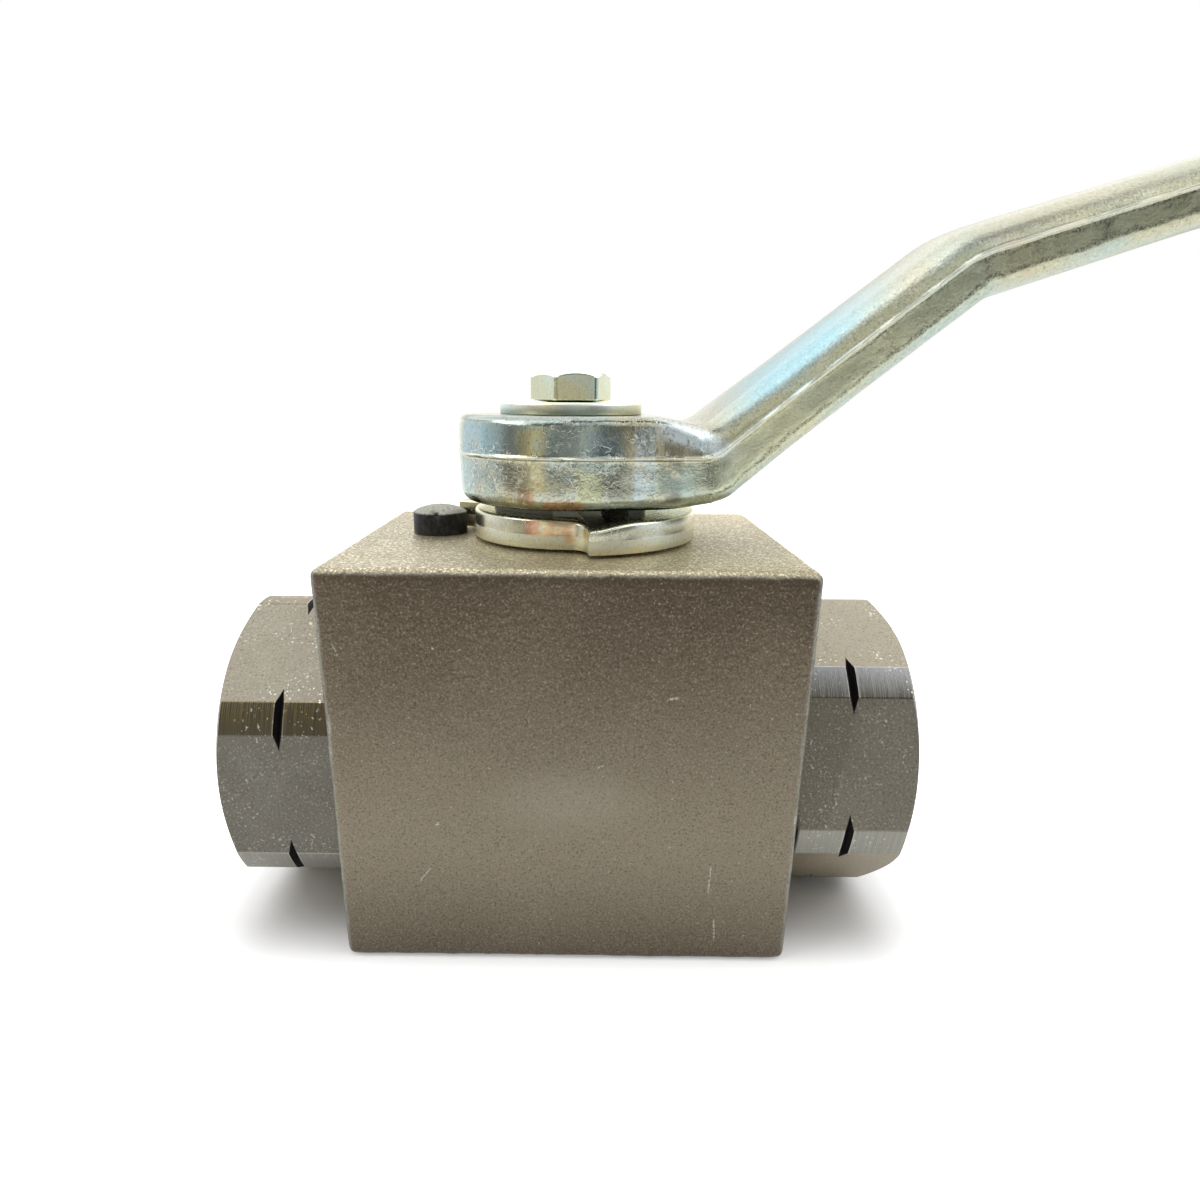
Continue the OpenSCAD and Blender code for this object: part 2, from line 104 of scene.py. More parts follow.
def weld(piece, distance=1e-7):
    """Joins points that lie on each other and turns all faces outwards."""
    made = bmesh.new()
    made.from_mesh(piece.data)
    bmesh.ops.remove_doubles(made, verts=made.verts, dist=distance)
    bmesh.ops.dissolve_degenerate(made, edges=made.edges, dist=distance)
    bmesh.ops.recalc_face_normals(made, faces=made.faces)
    made.to_mesh(piece.data)
    made.free()


def shade(piece, sharp):
    """Shades smoothly, with hard edges where faces meet at more than sharp degrees."""
    piece.data.shade_smooth()
    piece.data.set_sharp_from_angle(angle=radians(sharp))


def ring_faces(rings, count, closed=False, caps=False):
    """Quads between rings of count points each, with the last ring joined to the first or both ends capped."""
    faces = []
    for i in range(rings if closed else rings - 1):
        a = i * count
        b = (i + 1) % rings * count
        for k in range(count):
            m = (k + 1) % count
            faces.append((a + k, b + k, b + m, a + m))
    if caps:
        faces.append(tuple(range(count)))
        faces.append(tuple(range((rings - 1) * count, rings * count)))
    return faces


def angles(count):
    """Equal steps once round, in radians."""
    return [2 * pi * k / count for k in range(count)]


def polar(r, a):
    return r * cos(a), r * sin(a)


def turned(profile, count):
    """Points and faces of a solid of revolution about Z. The profile is a closed loop of (radius, height)."""
    points = [(*polar(r, a), z) for r, z in profile for a in angles(count)]
    return points, ring_faces(len(profile), count, closed=True)


def arc(cx, cy, r, start, end, steps):
    """Points on an arc, with both ends; angles in degrees."""
    points = []
    for k in range(steps + 1):
        x, y = polar(r, radians(lerp(start, end, k / steps)))
        points.append((cx + x, cy + y))
    return points


def cut(piece, cutters, sharp):
    """Cuts the cutters out of the piece, deletes them and shades the piece again."""
    for tool in cutters:
        change = piece.modifiers.new("cut", "BOOLEAN")
        change.solver = "EXACT"
        change.object = tool
    evaluated = piece.evaluated_get(bpy.context.evaluated_depsgraph_get())
    mesh = bpy.data.meshes.new_from_object(evaluated)
    piece.modifiers.clear()
    old = piece.data
    piece.data = mesh
    bpy.data.meshes.remove(old)
    mesh.name = piece.name
    for tool in cutters:
        bpy.data.objects.remove(tool)
    shade(piece, sharp)


def cutter(points, faces):
    """A plain solid that is cut out of a piece."""
    made = new_object("cutter", points, faces)
    weld(made)
    return made


def rod(r, start, end, count=96):
    """A cylinder from start to end, two points on a line along one axis."""
    line = Vector(end) - Vector(start)
    side = line.orthogonal().normalized()
    other = line.normalized().cross(side)
    ring = [r * (cos(a) * side + sin(a) * other) for a in angles(count)]
    points = [Vector(base) + p for base in (start, end) for p in ring]
    return cutter(points, ring_faces(2, count, caps=True))


def smooth(t):
    """Rises smoothly from 0 to 1 as t goes from 0 to 1."""
    u = max(0.0, min(1.0, t))
    return u * u * (3 - 2 * u)


def lerp(a, b, t):
    return a + (b - a) * t


def wave(p, size, seed):
    """Smooth noise from about -1 to 1 whose bumps are size millimetres across."""
    return noise.noise(Vector((p[0] / size + seed, p[1] / size - seed, p[2] / size + 2 * seed)))


# Node trees

class Value:
    """A node's output, which is added, subtracted and multiplied like a number."""

    def __init__(self, nodes, socket):
        self.nodes = nodes
        self.socket = socket

    def __add__(self, other):
        return self.nodes.maths("ADD", self, other)

    def __sub__(self, other):
        return self.nodes.maths("SUBTRACT", self, other)

    def __mul__(self, other):
        return self.nodes.maths("MULTIPLY", self, other)

    def __abs__(self):
        return self.nodes.maths("ABSOLUTE", self)


class Nodes:
    """A node tree and short ways to add the nodes that drive it."""

    def __init__(self, tree):
        self.tree = tree

    def feed(self, socket, value):
        """Puts a number, a colour or another node's output into a socket."""
        if isinstance(value, Value):
            self.tree.links.new(value.socket, socket)
        elif socket.type == "RGBA":
            socket.default_value = (*value, 1)
        else:
            socket.default_value = value

    def add(self, kind, inputs, output=0, **settings):
        """Adds a node, feeds its inputs and gives one of its outputs."""
        made = self.tree.nodes.new("ShaderNode" + kind)
        for key, setting in settings.items():
            setattr(made, key, setting)
        for key, value in inputs.items():
            self.feed(made.inputs[key], value)
        return Value(self, made.outputs[output])

    def show(self, shader, kind="OutputMaterial"):
        """Makes the tree's new output show a shader."""
        self.feed(self.tree.nodes.new("ShaderNode" + kind).inputs["Surface"], shader)

    def maths(self, operation, a, b=0.0):
        return self.add("Math", {0: a, 1: b}, operation=operation)

    def split(self, vector):
        """A vector's three numbers."""
        made = self.tree.nodes.new("ShaderNodeSeparateXYZ")
        self.feed(made.inputs[0], vector)
        return [Value(self, output) for output in made.outputs]

    def step(self, value, low, high, start=0.0, end=1.0):
        """Goes smoothly from start to end as value goes from low to high."""
        inputs = {"Value": value, "From Min": low, "From Max": high, "To Min": start, "To Max": end}
        return self.add("MapRange", inputs, "Result", interpolation_type="SMOOTHSTEP")

    def within(self, value, low, high, edge):
        """1 between two lengths and 0 outside them, with edges that are soft over 2 * edge."""
        return self.step(value, low - edge, low + edge) * self.step(value, high + edge, high - edge)

    def mix(self, share, a, b):
        """The colour a at share 0, b at share 1 and a mixture between."""
        return self.add("Mix", {0: share, 6: a, 7: b}, 2, data_type="RGBA")

    def layers(self, base, *layers):
        """Lays colours over the base, each given as its share and the colour."""
        for share, colour in layers:
            base = self.mix(share, base, colour)
        return base

    def white_to(self, in_metal):
        """1 for rays from the camera and through glass, in_metal for rays from metal and 0 for light."""
        metal = self.add("LightPath", {}, "Is Glossy Ray") * in_metal
        either = self.maths("MAXIMUM", self.add("LightPath", {}, "Is Camera Ray"), metal)
        return self.maths("MAXIMUM", either, self.add("LightPath", {}, "Is Transmission Ray"))


class Shader(Nodes):
    """A material with one Principled shader."""

    def __init__(self, name, metallic=0.0, roughness=0.5, colour=(0.5, 0.5, 0.5), specular=0.5):
        self.material = bpy.data.materials.new(name)
        self.material.use_nodes = True
        super().__init__(self.material.node_tree)
        self.bsdf = self.tree.nodes["Principled BSDF"]
        self.set("Metallic", metallic)
        self.set("Roughness", roughness)
        self.set("Base Color", colour)
        self.set("Specular IOR Level", specular)
        self.place = self.add("TexCoord", {}, "Object")
        self.height = None

    def set(self, socket, value):
        self.feed(self.bsdf.inputs[socket], value)

    def axes(self):
        """The place on the object along X, Y and Z, in millimetres."""
        return self.split(self.add("VectorMath", {0: self.place, "Scale": 1 / MM}, operation="SCALE"))

    def facing(self):
        """The direction that the surface faces, as three numbers from -1 to 1."""
        return self.split(self.add("TexCoord", {}, "Normal"))

    def radius(self, a, b):
        """Distance from a line, from two coordinates across it."""
        return self.maths("SQRT", a * a + b * b)

    def stretch(self, x, y, z):
        """The object's coordinates, each scaled by its own number."""
        return self.add("Mapping", {"Vector": self.place, "Scale": (x, y, z)})

    def noise(self, size, detail=2.0, rough=0.5, at=None, shift=0.0):
        """Noise from 0 to 1 whose blobs are size millimetres across."""
        inputs = {"Vector": at or self.place, "W": shift, "Scale": 1 / (size * MM),
                  "Detail": detail, "Roughness": rough}
        return self.add("TexNoise", inputs, "Fac", noise_dimensions="4D")

    def bump(self, height, depth):
        """Adds relief: height from 0 to 1 stands for depth millimetres."""
        inputs = {"Height": height, "Distance": depth * MM, "Strength": 1.0}
        if self.height:
            inputs["Normal"] = self.height
        self.height = self.add("Bump", inputs)
        self.set("Normal", self.height)


# The steel of the block and the adapters

# Bare places on the front face: x, height, length, lean from upright, width
SCRATCHES = ((19.6, 13.4, 4.6, 2, 0.30), (20.7, 5.2, 4.0, -4, 0.32), (-19.2, 13.6, 3.4, 38, 0.22),
             (-17.0, 21.6, 0.8, 60, 0.5), (13.4, 39.8, 1.6, 80, 0.35), (-16.4, 46.2, 0.5, 0, 0.4),
             (-28.6, 46.0, 2.2, -20, 0.25), (-30.6, 35.3, 2.2, 4, 1.0), (-30.6, 31.9, 1.5, -6, 0.8),
             (30.5, 22.6, 1.4, 5, 0.6), (4.4, 30.2, 1.2, 70, 0.25))
BARE_STEEL = (0.55, 0.52, 0.45)
DEEP_SHADOW = (0.012, 0.011, 0.010)


def block_steel():
    """Grit-blasted and phosphated steel: brown-grey, with a fine bright grain and rubbed places, painted
    lighter about a third of the way up as a reflection of the floor, painted light on the faces that point up
    with painted shade at the top's left, and painted glints.
    """
    s = Shader("block_steel", metallic=0.6, roughness=0.45)
    x, y, z = s.axes()
    out_x, out_y, out_z = s.facing()
    patches = s.step(s.noise(22, detail=3), 0.4, 0.62)
    # Painted reflection of the floor: the block is lighter about a third of the way up, fading towards the top
    # and a little towards the bottom.
    middle = s.step(z, 57, 14) * s.step(z, -4, 20, 0.20, 1.0)
    flush = s.maths("MAXIMUM", abs(out_x), s.maths("MAXIMUM", abs(out_y), abs(out_z)))
    worn = s.step(flush, 0.95, 0.80) * s.step(s.noise(1.1, detail=3), 0.30, 0.60, 0.40, 0.75)
    # Painted light from above: faces that point up get a lighter, warmer colour.
    painted_top_light = s.step(out_z, 0.35, 0.95)
    grain = s.noise(0.30, detail=2.0, rough=0.6)
    front = s.step(y, -24.3, -24.9)
    # Painted glints: bright specks on the front face that stand in for the sparkle of the grit.
    painted_glints = s.step(s.noise(0.38, detail=1.0, shift=9.0), 0.69, 0.76) * front
    rubbed = s.step(s.radius(x * 0.45, z - 25) + grain * 4, 8.5, 3) * front
    base = s.layers(
        s.mix(patches, (0.100, 0.074, 0.047), (0.130, 0.102, 0.068)),
        # painted floor reflection across the lower middle of the height
        (middle * 0.9, (0.30, 0.26, 0.19)),
        (worn, (0.35, 0.36, 0.31)),
        # painted light on the faces that point up
        (painted_top_light, s.mix(patches, (0.41, 0.35, 0.215), (0.47, 0.405, 0.255))),
        # painted shade on the left part of the top
        (painted_top_light * s.step(x, 5, -25, 0.0, 0.45), (0.20, 0.175, 0.115)),
        (s.step(grain, 0.5, 0.72, 0.0, 0.4), (0.40, 0.35, 0.26)),
        (s.step(grain, 0.47, 0.31, 0.0, 0.5) * s.step(painted_top_light, 0.0, 1.0, 1.0, 0.75), (0.050, 0.037, 0.024)),
        # painted glints in the grain of the faces that point up
        (s.step(grain, 0.50, 0.66) * (painted_top_light * 0.8), (0.95, 0.88, 0.68)),
        (painted_glints * 0.45, (0.58, 0.52, 0.40)),
        (rubbed * 0.22, (0.46, 0.42, 0.34)))
    s.set("Base Color", s.layers(base, *scratch_layers(s, x, y, z, grain)))
    s.set("Roughness", s.step(grain, 0.35, 0.7, 0.48, 0.32))
    s.bump(s.noise(0.8, detail=2.0), 0.22)
    s.bump(grain, 0.05)
    return s.material


def scratch_layers(s, x, y, z, grain):
    """The bare places that SCRATCHES lists, each broken up by the grain."""
    front = s.step(y, -23.6, -24.2)
    broken = s.step(grain, 0.40, 0.56, 0.15, 0.85)
    layers = []
    for at_x, at_z, length, lean, width in SCRATCHES:
        turn = radians(lean)
        dx = x - at_x
        dz = z - at_z
        along = abs(dx * sin(turn) + dz * cos(turn))
        across = abs(dx * cos(turn) - dz * sin(turn))
        inside = s.step(along, 0.5 * length, 0.35 * length)
        thin = s.step(across, 0.5 * width, 0.2 * width)
        layers.append((inside * thin * front * broken, BARE_STEEL))
    return layers


def adapter_steel(name, axis):
    """Phosphated flats, bright turned corners with fine turning lines, and the groove across them, with
    painted shade in the groove and a painted shadow where the right adapter meets the block. The port's axis
    is 0 for
    X or 1 for Y."""
    s = Shader(name, metallic=0.55, roughness=0.42)
    axes = s.axes()
    length = axes[axis]
    reach = BLOCK[axis] / 2
    r = s.radius(axes[1 - axis], axes[2] - PORT_Z)
    corner = s.step(r, HEX_TURNED_R - 0.12, HEX_TURNED_R - 0.04)
    from_block = abs(length) - reach
    right = s.step(length, -5, 5)
    level = s.step(s.facing()[2], 0.15, 0.45)
    turning = s.maths("SINE", length * (2 * pi / 0.3))
    squeeze = [1 if k == axis else 0.02 for k in range(3)]
    lines = s.noise(0.18, detail=1.0, at=s.stretch(*squeeze)) + turning * 0.07
    chips = s.step(s.noise(0.42, detail=1.0, shift=6.0), 0.64, 0.69)
    chips = chips * s.step(s.noise(6, detail=1, shift=4.0), 0.42, 0.60)
    # Painted shadow where the adapter meets the block, below the port's middle; it is laid only on the right
    # adapter.
    gap = s.step(from_block, 1.25, 0.7) * s.step(axes[2], PORT_Z + 2, PORT_Z - 6)
    end = s.step(abs(s.facing()[axis]), 0.8, 0.97)
    end_lines = s.step(s.noise(0.25, detail=1.0, at=r * MM), 0.36, 0.64)
    off_mark = abs(abs(length) - (reach + MARK_FROM + MARK_W / 2))
    above_mark = r - (off_mark * (2 * MARK_DEPTH / MARK_W) + (HEX_TURNED_R - MARK_DEPTH))
    rim = s.step(above_mark, -0.42, -0.20) * corner
    flat = flat_tone(s, length, axes[2], level, from_block)
    cut_tone = turned_tone(s, length, axes[2], lines, right)
    s.set("Base Color", s.layers(
        s.mix(corner, flat, cut_tone),
        (chips * s.step(level, 0.0, 1.0, 0.35, 0.85), (0.92, 0.90, 0.82)),
        # painted shadow at the block
        (gap * right, DEEP_SHADOW),
        (end * 0.8, s.mix(end_lines, (0.26, 0.25, 0.22), (0.32, 0.31, 0.275))),
        (rim * 0.45, (0.62, 0.60, 0.52)),
        # painted shade in the bottom of the groove
        (s.step(above_mark, -0.14, -0.05), DEEP_SHADOW)))
    s.set("Metallic", s.step(corner, 0.0, 1.0, 0.45, 0.9))
    s.set("Roughness", s.step(corner, 0.0, 1.0, 0.44, 0.30))
    s.bump(s.noise(0.5, detail=2), 0.02)
    s.bump(lines * corner, 0.012)
    return s.material


def turned_tone(s, length, z, lines, right):
    """The adapter's turned corners: painted shade on their upper half, most on the left one, painted light on
    their lower half for the floor they reflect, a pale bluish painted reflection near the top of the right
    one, and an orange stain on the left one."""
    # Painted light and shade on the turned steel: darker above the port's middle, lighter below it.
    above = s.step(z, PORT_Z - 4, PORT_Z + 4)
    # Painted reflection: a pale bluish stripe near the top of the right adapter.
    painted_reflection_band = s.mix(s.step(z, PORT_Z + 13.8, PORT_Z + 17.0), (0.085, 0.08, 0.062), (0.33, 0.335, 0.34))
    stain = s.step(z, PORT_Z + 9.5, PORT_Z + 12) * s.step(lines, 0.42, 0.56)
    return s.layers(
        s.mix(s.step(lines, 0.36, 0.64), (0.20, 0.19, 0.16), (0.29, 0.28, 0.24)),
        # painted shade above
        (above * s.step(length, 5, -5, 0.15, 0.75), (0.085, 0.078, 0.052)),
        # painted light below
        (s.step(above, 1.0, 0.0, 0.0, 0.45), (0.42, 0.42, 0.37)),
        # painted reflection on the right one
        (above * right, s.mix(s.step(lines, 0.40, 0.60, 0.0, 0.22), painted_reflection_band, (0.42, 0.42, 0.39))),
        (stain * s.step(right, 1.0, 0.0) * 0.55, (0.34, 0.25, 0.09)))


def flat_tone(s, length, z, level, from_block):
    """The adapter's flats: painted shade on the upright ones, with a painted diagonal shadow on the right
    adapter, painted light on those facing up, a brownish painted reflection of the floor on those facing down
    with painted shade near the block, and specks.
    """
    # Painted light and shade by the way a flat faces: darker where it stands upright, lighter where it faces
    # up, and a lighter brown where it faces down, as a reflection of the floor.
    upright = s.step(level, 1.0, 0.0)
    under = s.step(s.facing()[2], -0.35, -0.65)
    specks = s.noise(0.3, detail=2)
    # Painted shadow: a diagonal dark part on the upright flats on the positive side, the right adapter and
    # also the rear one.
    shaded = s.step(length - (z * 0.24 + 30.8), 0.4, -0.3) * upright * s.step(length, 0.0, 5)
    return s.layers(
        s.mix(s.step(s.noise(6, detail=3), 0.35, 0.70), (0.190, 0.178, 0.146), (0.225, 0.213, 0.178)),
        # painted shade on the upright flats
        (upright * s.step(length, -5, 5, 0.30, 0.50), (0.11, 0.103, 0.082)),
        # painted diagonal shadow
        (shaded * 0.45, (0.070, 0.062, 0.045)),
        # painted light on the flats facing up
        (level * s.step(length, -5, 5, 0.4, 0.85), (0.42, 0.37, 0.265)),
        # painted reflection of the floor on the flats facing down
        (under * 0.7, (0.50, 0.42, 0.28)),
        (s.step(specks, 0.56, 0.70, 0.0, 0.5), (0.50, 0.47, 0.40)),
        (s.step(specks, 0.46, 0.32, 0.0, 0.5), (0.085, 0.078, 0.06)),
        # painted shade on the flats facing down, near the block
        (under * s.step(from_block, 9, 1) * 0.4, (0.16, 0.12, 0.07)))


# The zinc plate of the handle

# On the hub the listed places are plate tints together with painted reflections of the room, and one is a
# painted highlight along the hub's lower edge.
# Places with another tint: from and to along X, from and to in height, colour, share
HUB_TINTS_AND_PAINTED_REFLECTIONS = ((-6.4, -4.4, 61.6, 64.4, (0.66, 0.34, 0.14), 0.7),
              (-3.2, 1.8, 61.0, 63.0, (0.66, 0.36, 0.16), 0.75),
              (-6.4, -3.0, 64.0, 71.5, (0.64, 0.56, 0.30), 0.6),
              (-4.4, 2.0, 64.0, 67.5, (0.58, 0.55, 0.35), 0.5),
              (8.3, 11.2, 62.5, 72.0, (0.56, 0.72, 0.82), 0.6),
              (11.9, 14.6, 61.5, 72.5, (0.20, 0.21, 0.17), 0.6),
              (-13.0, -8.4, 61.5, 67.4, (0.36, 0.45, 0.43), 0.6),
              (-8.4, -4.8, 61.5, 67.4, (0.20, 0.18, 0.12), 0.6),
              (5.0, 8.2, 61.5, 67.4, (0.30, 0.33, 0.28), 0.5),
              (11.6, 14.4, 61.5, 67.0, (0.24, 0.24, 0.19), 0.6),
              # painted highlight along the hub's lower edge
              (4.5, 15.0, 61.9, 62.5, (0.78, 0.94, 0.92), 0.8),
              (-14.8, -9.0, 68.0, 72.0, (0.40, 0.62, 0.68), 0.45),
              (2.0, 6.5, 68.0, 71.6, (0.28, 0.42, 0.52), 0.45),
              (-16.5, -13.0, 61.5, 67.2, (0.48, 0.74, 0.72), 0.5),
              (1.0, 4.5, 62.8, 66.6, (0.60, 0.61, 0.28), 0.5),
              (10.5, 16.0, 64.0, 67.4, (0.42, 0.58, 0.52), 0.4))
DISC_STAINS = ((-5.8, -3.8, 58.2, 60.1, (0.84, 0.44, 0.30), 0.85),
               (-3.4, -0.2, 58.2, 60.1, (0.86, 0.62, 0.34), 0.85),
               (-0.5, 0.7, 57.4, 60.1, (0.82, 0.48, 0.24), 0.75))
ZINC_TONES = ((0.62, 0.60, 0.43), (0.51, 0.61, 0.55))


def zinc(name, size, pits, warm, speckle, rough=0.16, marks=0.1, tinted_places=(), tones=ZINC_TONES, matte_below=None,
         forged=False):
    """Zinc plate: olive to light blue with faint yellow and orange, over a speckled forged or pressed skin.
    matte_below is the height under which the plate is torn and dull, and forged adds the lever's tints with
    its painted reflections, highlight and shade."""
    s = Shader(name, metallic=1.0, roughness=0.3)
    x, y, z = s.axes()
    front = s.step(y, -2, -5)
    tint = s.noise(10 * size, detail=2)
    wander = s.noise(1.8, detail=2, shift=11.0)
    fine = s.noise(0.45, detail=3, rough=0.65)
    dark_worm, pale_worm = worms(s, x if forged else None)
    base = s.layers(
        s.mix(s.step(tint, 0.40, 0.60), *tones),
        (s.step(s.noise(8 * size, detail=1, shift=3.0), 0.58, 0.72, 0.0, warm), (0.66, 0.55, 0.32)),
        (s.step(s.noise(5 * size, shift=7.0), 0.64, 0.76, 0.0, warm), (0.66, 0.40, 0.30)),
        *tinted_place_layers(s, tinted_places, x, z, front * s.step(wander, 0.30, 0.50)),
        (s.step(fine, 0.46, 0.34, 0.0, speckle), (0.20, 0.21, 0.18)),
        (s.step(fine, 0.58, 0.70, 0.0, speckle), (0.80, 0.84, 0.80)),
        (dark_worm * (0.55 * marks), (0.17, 0.18, 0.17)),
        (pale_worm * marks, (0.86, 0.90, 0.86)))
    shine = s.step(fine, 0.35, 0.65, rough + 0.06, rough)
    if forged:
        base = forged_tone(s, base, front, tint, wander, fine)
        shine = shine + s.step(x, 13, 24, 0.0, 0.15)
    if matte_below:
        shine = shine + s.step(z, matte_below + 0.1, matte_below - 0.1, 0.0, 0.25)
    s.set("Base Color", base)
    s.set("Roughness", shine + pale_worm * 0.2)
    s.bump(s.noise(2.4 * size, detail=2), 0.25 * pits)
    s.bump(fine, pits)
    s.bump(pale_worm - dark_worm, 0.5 * pits * marks)
    return s.material


def worms(s, x):
    """Dark and pale worm-like marks in patches. Where x is given, they fade away along the arm."""
    field = s.noise(0.62, detail=0, shift=5.0)
    patch = s.step(s.noise(4.5, detail=2, shift=2.0), 0.42, 0.56)
    if x:
        patch = patch * s.step(x, 22, 13, 0.1, 1.0)
    dark = s.step(abs(field - 0.45), 0.050, 0.018) * patch
    pale = s.step(abs(field - 0.56), 0.040, 0.014) * patch
    return dark, pale * s.step(s.noise(0.7, detail=0, shift=8.0), 0.47, 0.55)


def tinted_place_layers(s, tinted_places, x, z, ragged):
    """A layer for each listed place, with its edges and its share broken up by the ragged noise. On the hub
    the places are plate tints together with painted reflections and a painted highlight.
    """
    return [(s.within(x, x_from, x_to, 0.5) * s.within(z, z_from, z_to, 0.3) * ragged * share, tone)
            for x_from, x_to, z_from, z_to, tone, share in tinted_places]


def forged_tone(s, base, front, tint, wander, fine):
    """The lever's tints and painted light: painted reflections on the arm's sides, top and underside, a sandy
    skin, a dark line under the parting line, painted shade on the hub's lower edge, a painted highlight on the
    neck and the pale parting line. The last two are less metallic, and the arm's skin is a little rough."""
    x, y, z = s.axes()
    up = s.facing()[2]
    on_arm = s.step(x, 14, 20)
    sand = s.noise(0.26, detail=2, rough=0.7, shift=4.0)
    # A dark line where the arm's side turns under, below the parting line; torn here is only the facing,
    # wavered by noise.
    torn = up + (wander - 0.5) * 0.16
    dark_line_under_parting = s.step(torn, -0.14, -0.20) * s.step(torn, -0.34, -0.26) * on_arm
    # Painted shade on the hub's front where it faces down, near its lower edge.
    below = s.step(up, -0.30, -0.60) * (front * s.step(x, 15, 11))
    # Painted highlight: a bright bluish streak on the front where the hub runs into the arm, less metallic
    # than the rest.
    saddle = abs(z + x * 0.28 - 75.1)
    painted_neck_highlight = s.step(saddle, 1.9, 0.5) * s.within(x, 11.5, 20.5, 2.5) * front
    painted_neck_highlight = painted_neck_highlight * s.step(fine, 0.34, 0.50, 0.3, 0.9)
    crest = s.add("Attribute", {}, "Fac", attribute_name="crest") * s.step(wander, 0.30, 0.50, 0.35, 0.9)
    s.set("Metallic", s.step(s.maths("MAXIMUM", crest, painted_neck_highlight), 0.0, 1.0, 1.0, 0.5))
    s.bump(sand * on_arm, 0.03)
    return s.layers(
        base, *arm_layers(s, x, y, up, on_arm, tint, sand),
        # the dark line under the parting line
        (dark_line_under_parting * s.step(sand, 0.40, 0.55, 0.8, 0.35), (0.09, 0.09, 0.075)),
        # painted shade on the hub's lower edge
        (below * 0.6, (0.08, 0.08, 0.06)),
        # painted highlight on the neck
        (painted_neck_highlight, (0.82, 0.95, 1.0)),
        (crest, (0.90, 0.89, 0.74)))


def arm_layers(s, x, y, up, on_arm, tint, sand):
    """Painted reflections by the way the arm faces: olive sides, a pale greenish underside and a top with a
    light blue patch; sandy specks; and painted shade on the lever's faces that point up.
    """
    # Painted reflections: the arm's colour changes with the way it faces, as the room and the floor that it
    # reflects do.
    top = s.step(up, 0.30, 0.60) * on_arm
    blue = s.step(x, 17, 26) * s.step(x, 44, 32)
    blue = blue * s.step(y + (tint - 0.5) * 20, 6, -4)
    round_edge = s.step(up, 0.08, 0.30) * s.step(up, 0.62, 0.45)
    sandy = on_arm * s.step(round_edge, 0.0, 1.0, 0.5, 1.0)
    # painted reflections on the sides, the underside and the top
    return ((s.step(abs(up), 0.50, 0.20) * on_arm * 0.7, (0.73, 0.74, 0.46)),
            (s.step(up, -0.55, -0.85) * on_arm * 0.7, (0.58, 0.66, 0.57)),
            (top * 0.5, (0.72, 0.70, 0.55)),
            (blue * top * 0.8, (0.40, 0.72, 0.84)),
            (s.step(sand, 0.54, 0.66) * (sandy * 0.7), (0.92, 0.92, 0.84)),
            (s.step(sand, 0.46, 0.34) * (sandy * 0.45), (0.15, 0.15, 0.12)),
            # Painted shade on the lever's faces that point up, more on the hub than on the arm.
            (s.step(up, 0.35, 0.75) * s.step(on_arm, 0.0, 1.0, 0.58, 0.41), (0.06, 0.06, 0.05)))


# The other materials

def black_pin():
    """Black oxide on a spring pin, rubbed on its end."""
    s = Shader("black_pin", metallic=0.3, roughness=0.45)
    grain = s.noise(0.5, detail=3)
    end = s.step(s.axes()[2], BLOCK[2] + 2.9, BLOCK[2] + 3.3)
    s.set("Base Color", s.layers(
        s.mix(s.step(grain, 0.4, 0.7), (0.010, 0.010, 0.011), (0.035, 0.034, 0.032)),
        (s.step(s.noise(1.8, detail=2), 0.5, 0.7) * 0.25, (0.12, 0.125, 0.11)),
        (end * s.step(grain, 0.30, 0.55, 0.4, 1.0), (0.32, 0.32, 0.26))))
    s.set("Metallic", s.step(end, 0.0, 1.0, 0.3, 0.7))
    s.set("Roughness", s.step(grain, 0.3, 0.7, 0.40, 0.55))
    s.bump(grain, 0.04)
    return s.material


def ground_steel():
    """Fine grinding lines round the stem."""
    s = Shader("ground_steel", metallic=1.0, roughness=0.25)
    lines = s.noise(0.2, detail=1, at=s.stretch(0.02, 0.02, 1))
    s.set("Base Color", s.mix(lines, (0.48, 0.48, 0.47), (0.62, 0.62, 0.61)))
    s.set("Roughness", s.step(lines, 0.3, 0.7, 0.2, 0.34))
    s.bump(lines, 0.01)
    return s.material


def ball_chrome():
    s = Shader("ball_chrome", metallic=1.0, roughness=0.06)
    haze = s.noise(8, detail=2)
    s.set("Base Color", s.mix(haze, (0.70, 0.71, 0.73), (0.76, 0.77, 0.78)))
    s.set("Roughness", s.step(haze, 0.3, 0.7, 0.05, 0.10))
    return s.material


def plain(name, dark, pale, grain, detail=2, depth=0.01, metallic=0.0, roughness=0.45):
    """A material between two near tones, with a fine relief of the same grain."""
    s = Shader(name, metallic=metallic, roughness=roughness)
    tone = s.noise(grain, detail=detail)
    s.set("Base Color", s.mix(tone, dark, pale))
    s.bump(tone, depth)
    return s.material


def spring_steel():
    return plain("spring_steel", (0.20, 0.20, 0.155), (0.29, 0.30, 0.245), 0.6, depth=0.02, metallic=0.25,
                 roughness=0.5)


def seat_plastic():
    return plain("seat_plastic", (0.76, 0.75, 0.69), (0.82, 0.81, 0.75), 0.3, detail=1, roughness=0.38)


def seal_rubber():
    return plain("seal_rubber", (0.012, 0.012, 0.013), (0.028, 0.028, 0.029), 1.2)


def dress_nodes(materials):
    """Gives every carried-over node its material."""
    for name, material in materials.items():
        for slot in frame["nodes"][name].material_slots:
            slot.material = material


# The block

# Nicks in the block's edges and scratches' deep ends: place with z from the bottom, radius, depth
DINGS = (((-31, -25, 35.5), 1.5, 0.35), ((-31, -25, 31.8), 1.0, 0.25), ((-31, -25, 20.2), 0.7, 0.2),
         ((31, -25, 22.5), 0.8, 0.2), ((31, -25, 44.0), 0.7, 0.15), ((-12.6, -25, 18.6), 0.6, 0.12))


